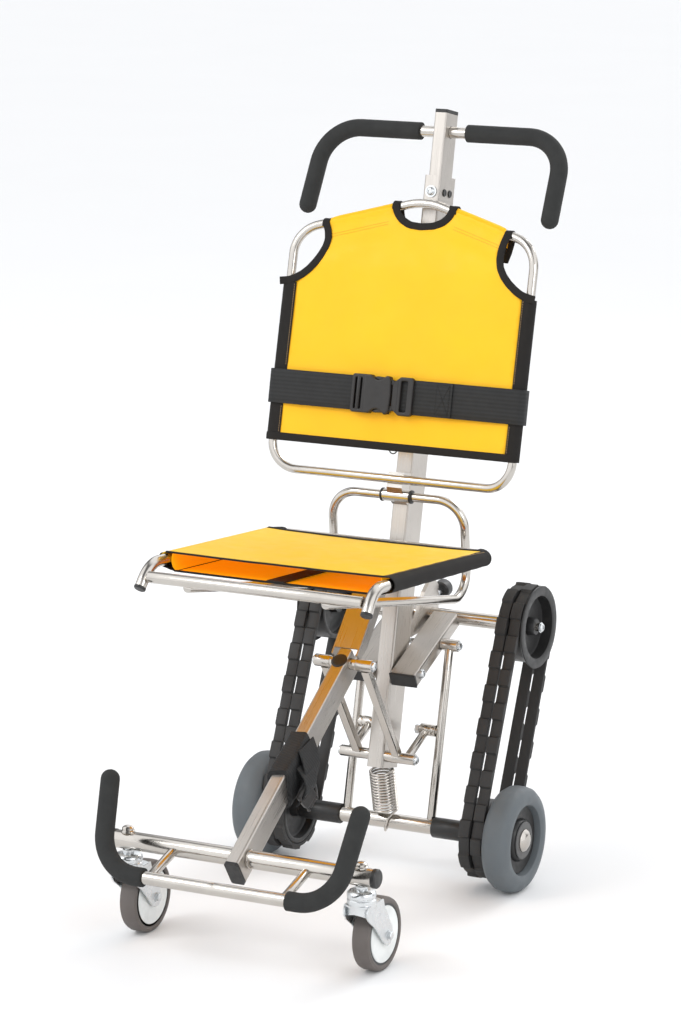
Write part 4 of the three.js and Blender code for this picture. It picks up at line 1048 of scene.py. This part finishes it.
def back_tape(on_sling):
    tape = Build()
    hem = [on_sling(x, 614, 0.6 + 1.6 * smoothstep(165, 180, abs(x))) for x in range(-195, 196, 13)]
    edge_tape(hem, 11, 3.0, TAPE, FORWARD, tape)
    for sign in (1, -1):
        edge = [(198.5, 833.6)] + ARMHOLE[1:]
        arm = [on_sling(sign * x, s, 0.6 + 1.6 * smoothstep(165, 180, x)) for x, s in edge]
        edge_tape(fillet(arm, [26] * (len(arm) - 2), 3), 11, 3.2, TAPE, FORWARD, tape)
        tail = [(-sign * 1, 8, -8), (-sign * 3, 6, -22), (-sign * 5.5, 2, -36)]
        strap(over_tube(sign * 142, tail), 10.5, 2.2, ACROSS, TAPE, tape)
        x = NECK_CENTRE + sign * 45
        strap(over_tube(x, [(-sign * 3, 7, -10), (-sign * 9, 4, -22)]), 10, 2.2, ACROSS, TAPE, tape)
    neck = [on_sling(NECK_CENTRE + x, s + 0.5 * math.sin(x / 5)) for x, s in NECK]
    neck += [on_sling(NECK_CENTRE - x, s + 0.5 * math.sin(x / 4)) for x, s in NECK[:-1][::-1]]
    edge_tape(fillet(neck, [22] * (len(neck) - 2), 3), 11, 3.2, TAPE, FORWARD, tape)
    around = [2 * math.pi * k / 20 for k in range(21)]
    ring = [mast(5 + 5.4 * math.cos(a), -74, 609.6 + 4.6 * math.sin(a)) for a in around]
    tape.tube(ring, 0.9, BLACK, 8, closed=True)
    tape.finish("back_binding", "frame", "webbing")


def back_sleeves():
    """Black sleeves that wrap the side tubes, each stitched to the yellow panel."""
    for name, side, seam in (("left", 1, 179.0), ("right", -1, 173.0)):
        sleeve = Build()
        rings = []
        for s in range(609, 834, 8):
            centre = bow(BACK_HALF, s)
            outer = [(seam, centre - 9.2), (seam + 4, centre - 9.5)]
            outer += [(BACK_HALF + 9.4 * math.sin(a), centre - 9.4 * math.cos(a)) for a in turns(0, 180, 12)]
            outer += [(176, centre + 9.2), (160, centre + 7), (146, centre + 3)]
            inner = []
            for x, w in outer[::-1]:
                depth = w + (0.9 if w < centre - 4 else -0.9 if w > centre + 4 else 0)
                inner.append((x - 0.9 if x > BACK_HALF else x, depth))
            rings.append([mast(side * x, w, s) for x, w in outer + inner])
        sleeve.loft(rings, TAPE)
        for k in range(62):
            s = 621 + k * 3.4
            if 655 < s < 714:
                continue
            x, w = side * (seam + 2.2), bow(BACK_HALF, s) - 9.7
            sleeve.rod(mast(x, w, s), mast(x, w, s + 2.1), 0.42, THREAD, 6)
        sleeve.finish(f"back_side_sleeve_{name}", "frame", "webbing")


def shoulder_hems(on_sling):
    hem = Build()
    for start, end in ((54, 137), (-137, -46)):
        rings = []
        for k in range(25):
            x = start + (end - start) * k / 24
            s0, w0 = gable(x), bow(x, gable(x))
            outer = [(w0 - 7.4, s0 - 6), (w0 - 7.6, s0 - 2)]
            outer += [(w0 - 7.6 * math.cos(a), s0 + 7.6 * math.sin(a)) for a in turns(0, 180, 12)]
            outer += [(w0 + 7.4, s0 - 6), (w0 + 6.4, s0 - 12), (w0 + 5, s0 - 18)]
            inner = []
            for w, s in outer[::-1]:
                inner.append((w - (w - w0) * 0.11, s - max(s - s0, 0) * 0.11))
            rings.append([mast(x, w, s) for w, s in outer + inner])
        hem.loft(rings, YELLOW)
        for drop in (19, 23):
            count = int(abs(end - start) / 3)
            for k in range(count):
                x = start + (end - start) * k / count
                y = x + math.copysign(1.8, x)
                stitch = on_sling(x, gable(x) - drop, 0.25), on_sling(y, gable(y) - drop, 0.3)
                hem.rod(*stitch, 0.34, HEM_THREAD, 5)
    hem.finish("back_shoulder_hem", "frame", "yellow_sling")


def back_cover():
    sling(cover_outline(), lambda x, s: mast(x, cover_depth(x, s), s), 7.5, YELLOW)

    def on_sling(x, s, lift=0.6):
        return mast(x, cover_depth(x, s) - lift, s)

    back_tape(on_sling)
    back_sleeves()
    shoulder_hems(on_sling)


back_cover()

# ------------ body belt and buckle

BELT_MID = 685


def belt():
    up = Vector(UP_MAST)
    for sign, name, inner in ((1, "left", 34), (-1, "right", -43)):
        front = -85.0
        corners = [
            mast(inner, front - 1.5, BELT_MID),
            mast(sign * 150, front + 0.5, BELT_MID),
            mast(sign * 199.5, front + 5, BELT_MID),
            mast(sign * 198.5, -59, BELT_MID),
            mast(sign * 150, -56, BELT_MID),
        ]
        path = finer(fillet(corners, [300, 9, 8], 8), 8)
        build = strap(path, 48.5, 1.7, up, BELT_WEB)
        if sign > 0:
            doubled = [mast(16, -87.6, BELT_MID), mast(30, -88.4, BELT_MID), mast(42, -88.2, BELT_MID)]
            doubled += [mast(60, front - 2.9, BELT_MID), mast(94, front - 2.4, BELT_MID)]
            strap(finer(doubled, 8), 48.5, 1.7, up, BELT_WEB, build)
            stitch_box(build, 70, 90, front - 3.5)
        build.finish(f"belt_strap_{name}", "frame", "webbing", [f"body_belt_{name}"])


def stitch_box(build, x0, x1, w):
    marks = [((x0, 664), (x1, 664)), ((x1, 664), (x1, 706)), ((x1, 706), (x0, 706)), ((x0, 706), (x0, 664))]
    marks += [((x0, 664), (x1, 706)), ((x0, 706), (x1, 664))]
    for (xa, sa), (xb, sb) in marks:
        count = int(math.hypot(xb - xa, sb - sa) / 3)
        for k in range(count):
            a, b = k / count, (k + 0.65) / count
            build.rod(
                mast(xa + (xb - xa) * a, w, sa + (sb - sa) * a),
                mast(xa + (xb - xa) * b, w, sa + (sb - sa) * b), 0.35, TAPE, 6)


def rounded(x0, y0, x1, y1, r, steps=4):
    made = []
    centres = ((x1 - r, y1 - r), (x0 + r, y1 - r), (x0 + r, y0 + r), (x1 - r, y0 + r))
    for quarter, (cx, cy) in enumerate(centres):
        for a in turns(90 * quarter, 90 * quarter + 90, steps):
            made.append((cx + r * math.cos(a), cy + r * math.sin(a)))
    return made


def buckle():
    """A side-release buckle: a socket with a ladder bar, and a tongue with two prongs."""
    origin = mast(0, -89.5, BELT_MID)
    up = Vector(UP_MAST)
    socket = Build()
    body = [(-40, -27), (-30, -27)]
    body += [(-30 + 24 * k / 10, -27 + 6.5 * math.sin(math.pi * k / 10)) for k in range(1, 10)]
    body += [(-6, -27), (-1, -26), (1.5, -20), (2.5, 0), (1.5, 20), (-1, 26), (-6, 27)]
    body += [(-6 - 24 * k / 10, 27 - 6.5 * math.sin(math.pi * k / 10)) for k in range(1, 10)]
    body += [(-30, 27), (-40, 27)]
    socket.plate([body], origin, ACROSS, up, 12, BUCKLE, 2.2)
    ladder = rounded(-60, -27, -37, 27, 4)
    socket.plate([ladder, rounded(-55, -22, -44, 22, 2)[::-1]], origin, ACROSS, up, 7, BUCKLE, 1.4)
    socket.rod(mast(-50, -90, BELT_MID - 23), mast(-50, -90, BELT_MID + 23), 3.2, BUCKLE, 16)
    socket.finish("buckle_socket_body", "frame", "black_plastic", ["belt_buckle_socket"])
    tongue = Build()
    frame_part = rounded(12, -27, 36, 27, 5)
    tongue.plate([frame_part, rounded(17, -21.5, 27, 21.5, 2)[::-1]], origin, ACROSS, up, 8, BUCKLE, 1.6)
    neck = [(3.5, -18), (13, -25), (13, 25), (3.5, 18)]
    tongue.plate([neck], origin, ACROSS, up, 7, BUCKLE, 1.4)
    tongue.rod(mast(31, -90, BELT_MID - 23), mast(31, -90, BELT_MID + 23), 3.4, BUCKLE, 16)
    for sign in (1, -1):
        prong = [(6, 14), (6, 21), (-6, 24.5), (-20, 25.4), (-27, 24), (-22, 21), (-8, 17)]
        prong = [(x, sign * y) for x, y in prong]
        tongue.plate([prong if sign < 0 else prong[::-1]], origin, ACROSS, up, 6, BUCKLE, 1.2)
    tongue.finish("buckle_tongue_body", "frame", "black_plastic", ["belt_buckle_tongue"])


belt()
buckle()

# ------------ seat cover

SEAT_FRONT, SEAT_REAR = -311.0, -20.0
SEAT_LENGTH = SEAT_REAR - SEAT_FRONT


def seat_top(u, v, lift=0.0):
    """A place on the seat's upper face; u runs across it and on round the side tubes."""
    middle = max(0.0, 1 - (u / 160) ** 2) ** 0.7
    sag = middle * (0.9 + 1.6 * math.sin(math.pi * (v - SEAT_FRONT) / SEAT_LENGTH))
    sag += 1.6 * middle * smoothstep(-52, -22, v)
    ripple = 0.15 * math.sin(u / 21 + v / 60) + 0.1 * math.sin(u / 9 - v / 33)
    reach = SLEEVE + lift
    if abs(u) <= SEAT_HALF:
        return seat(u, v, reach - 0.4 - sag + ripple * middle)
    a = (abs(u) - SEAT_HALF) / SLEEVE
    return seat(math.copysign(SEAT_HALF + reach * math.sin(a), u), v, reach * math.cos(a))


def seat_under(u, v):
    middle = max(0.0, 1 - (u / 160) ** 2) ** 0.7
    sag = 0.5 * middle + 0.9 * middle * math.sin(math.pi * (v - SEAT_FRONT) / SEAT_LENGTH)
    return seat(u, v, -14.2 - sag)


def seat_edge(v, side):
    """Where the yellow panel meets the black sleeve, which sits further round the far tube."""
    share = (v - SEAT_FRONT) / SEAT_LENGTH
    return 160 + 12 * share if side > 0 else -178


def seat_panel(name, surface, left, right, material, replaces):
    build = Build()
    verts = []
    for i in range(31):
        v = SEAT_FRONT + 1 + (SEAT_LENGTH - 2) * i / 30
        start, end = left(v), right(v)
        verts += [surface(start + (end - start) * k / 44, v) for k in range(45)]
    faces = []
    for i in range(30):
        for k in range(44):
            first = i * 45 + k
            faces.append([first, first + 1, first + 46, first + 45])
    thicken(build.add(verts, faces, material).finish(name, "seat", "yellow_sling", replaces, 80))


def seat_cover():
    seat_panel(
        "seat_top_sheet", seat_top, lambda v: seat_edge(v, -1), lambda v: seat_edge(v, 1),
        SEAT_YELLOW, ["seat_cover"])
    # The under sheet uses the glowing vinyl, so light is painted into the shade beneath the seat.
    seat_panel("seat_under_sheet", seat_under, lambda v: -154, lambda v: 154, GLOWING_ORANGE, ())

    for name, side in (("left", 1), ("right", -1)):
        sleeve = Build()
        rings = []
        for k in range(31):
            v = SEAT_FRONT + SEAT_LENGTH * k / 30
            start = abs(seat_edge(v, side)) - 2.5
            end = SEAT_HALF + SLEEVE * math.pi
            lift = 0.7 + 0.2 * math.sin(k * 1.7)
            outer = [seat_top(side * (start + (end - start) * i / 18), v, lift) for i in range(19)]
            outer += [seat(side * 160, v, -13.4), seat(side * 150, v, -15.2)]
            core = seat(side * 166, v, 0)
            inner = [p.lerp(core, 0.09) for p in outer[::-1]]
            rings.append(outer + inner)
        sleeve.loft(rings, TAPE)
        lining = []
        for v in (SEAT_FRONT + 1, (SEAT_FRONT + SEAT_REAR) / 2, SEAT_REAR - 1):
            wall = [(152, -13.8), (156.5, -9), (158.4, -3), (158.4, 3), (157.5, 8.6)]
            lining.append([seat(side * x, v, h) for x, h in wall + [(x + 0.5, h) for x, h in wall[::-1]]])
        # The lining uses the glowing vinyl too: painted light inside the sleeve.
        sleeve.loft(lining, GLOWING_ORANGE)
        corner = []
        for a in turns(0, 55, 11):
            corner.append(seat(side * (140 + 28 * math.cos(a)), -28 + 28 * math.sin(a), 0))
        sleeve.tube([seat(side * SEAT_HALF, -34, 0)] + corner, 10.2, TAPE, 24, ("flat", "round"))
        for k in range(80):
            v = SEAT_FRONT + 8 + k * 3.4
            u = seat_edge(v, side) + side * 1.6
            sleeve.rod(seat_top(u, v, 1.2), seat_top(u, v + 2.1, 1.2), 0.4, THREAD, 6)
        sleeve.finish(f"seat_side_sleeve_{name}", "seat", "webbing")

    tape = Build()
    up = seat(0, 0, 1) - seat(0, 0, 0)
    for v, width in ((SEAT_FRONT + 2.5, 5.5), (SEAT_REAR - 4, 8)):
        end = seat_edge(v, 1)
        path = [seat_top(-SEAT_HALF + (SEAT_HALF + end) * k / 28, v, 0.3) for k in range(29)]
        edge_tape(path, width, 2.4, TAPE, up, tape)
        edge_tape([seat_under(x, v) for x in range(-154, 155, 11)], width, 2.6, TAPE, up, tape)
    tape.finish("seat_binding", "seat", "webbing")

    web = Build()
    path = [seat(0, v, -13.2) for v in range(int(SEAT_FRONT) + 2, int(SEAT_REAR), 12)]
    strap(path, 27, 1.8, ACROSS, BELT_WEB, web)
    web.finish("seat_centre_strap", "seat", "webbing")


seat_cover()

# ------------ ankle strap


def ankle_strap():
    """Webbing wound round the leg: a slanted band, two loose flaps and a hanging clip."""
    build = Build()
    rings = []
    for k in range(27):
        share = k / 26
        ring = []
        for i in range(44):
            a = 2 * math.pi * i / 44
            c, s = math.cos(a), math.sin(a)
            over = 1 + 0.05 * math.sin(3.1 * share + i * 0.3) * math.sin(math.pi * share)
            x = math.copysign(abs(c) ** 0.42, c) * 15.6 * over
            d = math.copysign(abs(s) ** 0.42, s) * 26.5 * over
            low, high = 122 - 0.42 * d + 0.2 * x, 202 - 0.1 * d + 0.9 * math.sin(i * 0.55)
            t = low + (high - low) * share + 0.5 * math.sin(i * 0.9 + k)
            fold = 0.7 * math.sin((t + d * 0.5) / 5.5) * math.sin(math.pi * share)
            ring.append(leg(x + math.copysign(fold, c) * 0.5, t, d + math.copysign(fold, s) * 0.5))
        rings.append(ring)
    build.loft(rings, LEG_WEB)
    across = leg(0, 1, 0.35) - leg(0, 0, 0)
    for start, drop, out, width in (((16, 190, -20), 52, 17, 42), ((17, 166, -8), 40, 25, 31)):
        flap = []
        for k in range(12):
            share = k / 11
            curl = math.sin(math.pi * share) * out
            x, t, d = start
            flap.append(leg(x + curl * 0.6 + 2 * share, t - drop * 0.85 * share, d + drop * share))
        strap(flap, width, 2.6, across, LEG_WEB, build)
    build.finish("ankle_wrap", "front_leg", "webbing", ["ankle_strap"])
    clip = Build()
    ex = (leg(0, 0.25, 1) - leg(0, 0, 0)).normalized()
    ey = (leg(0.25, 1, -0.25) - leg(0, 0, 0)).normalized()
    ey = (ey - ex * ey.dot(ex)).normalized()
    origin = leg(27, 138, 27)
    for outlines, depth, bevel in (
        ([rounded(-18, -13, 13, 13, 4), rounded(-14, -9, -7, 9, 1.5)[::-1]], 7, 1.4),
        ([rounded(9, -8, 21, 8, 3)], 5, 1.2),
        ([[(12, -11), (22, -12.5), (25, -9), (20, -8)]], 4, 1.0),
        ([[(12, 11), (20, 8), (25, 9), (22, 12.5)]], 4, 1.0),
    ):
        clip.plate(outlines, origin, ex, ey, depth, BUCKLE, bevel)
    clip.finish("ankle_buckle", "front_leg", "black_plastic")


ankle_strap()

# ------------ floor and light


def staged(name, mesh, paper):
    mesh.materials.append(paper.material)
    piece = bpy.data.objects.new(name, mesh)
    bpy.context.scene.collection.objects.link(piece)
    return piece


def backdrop():
    """A pale wall round the floor, for the camera alone, so that the studio's light passes it."""
    count, radius, height = 48, 29.5, 40
    verts, faces = [], []
    for k, a in enumerate(turns(0, 360, count)[:-1]):
        verts += [(radius * math.cos(a), radius * math.sin(a), z) for z in (0, height)]
        after = (k + 1) % count
        faces.append((2 * k, 2 * k + 1, 2 * after + 1, 2 * after))
    mesh = bpy.data.meshes.new("backdrop")
    mesh.from_pydata(verts, [], faces)
    paper = Shader("backdrop_paper", (0, 0, 0), 1.0)
    paper.set(Emission_Color=(0.97, 0.98, 1, 1), Emission_Strength=1.0)
    wall = staged("backdrop", mesh, paper)
    wall.visible_diffuse = wall.visible_glossy = wall.visible_transmission = False
    wall.visible_shadow = wall.visible_volume_scatter = False


def studio():
    floor = bpy.data.meshes.new("floor")
    floor.from_pydata([(-30, -30, 0), (30, -30, 0), (30, 30, 0), (-30, 30, 0)], [], [(0, 1, 2, 3)])
    paper = Shader("floor_paper", (0.86, 0.86, 0.86), 0.9)
    paper.tint(paper.noise(2, 2.0), 0.99, 1.01)
    staged("floor", floor, paper)
    world = bpy.data.worlds.new("studio")
    world.use_nodes = True
    tree = world.node_tree
    heading = wired(tree, "ShaderNodeTexCoord", "Generated", {})
    total = 0.0
    for place in ((-0.75, -0.35, 0.55), (0.9, -0.1, 0.4), (0.1, 0.8, 0.6), (-0.2, -0.9, 0.25)):
        toward = {0: heading, 1: Vector(place).normalized()}
        facing = wired(tree, "ShaderNodeVectorMath", "Value", toward, operation="DOT_PRODUCT")
        window = {"Value": facing, **ranged(0.68, 0.86, 0.0, 1.0)}
        light = wired(tree, "ShaderNodeMapRange", "Result", window, interpolation_type="SMOOTHSTEP")
        total = wired(tree, "ShaderNodeMath", 0, {0: total, 1: light}, operation="MAXIMUM")
    power = wired(tree, "ShaderNodeMapRange", "Result", {"Value": total, "To Min": 0.26, "To Max": 1.5})
    tree.nodes["Background"].inputs["Color"].default_value = (0.97, 0.98, 1, 1)
    tree.links.new(power, tree.nodes["Background"].inputs["Strength"])
    scene = bpy.context.scene
    scene.world = world
    scene.view_settings.view_transform = "Standard"
    for name, place, size, energy in (
        ("key", (-2.2, -2.6, 3.4), 1.3, 40),
        ("fill", (3.0, -1.4, 2.0), 1.1, 16),
        ("rim", (0.8, 3.0, 2.6), 1.4, 30),
    ):
        light = bpy.data.lights.new(name, "AREA")
        light.size, light.energy = size, energy
        lamp = bpy.data.objects.new(name, light)
        scene.collection.objects.link(lamp)
        lamp.location = place
        aim = Vector((0, 0, 0.5)) - Vector(place)
        lamp.rotation_euler = aim.to_track_quat("-Z", "Y").to_euler()


backdrop()
studio()
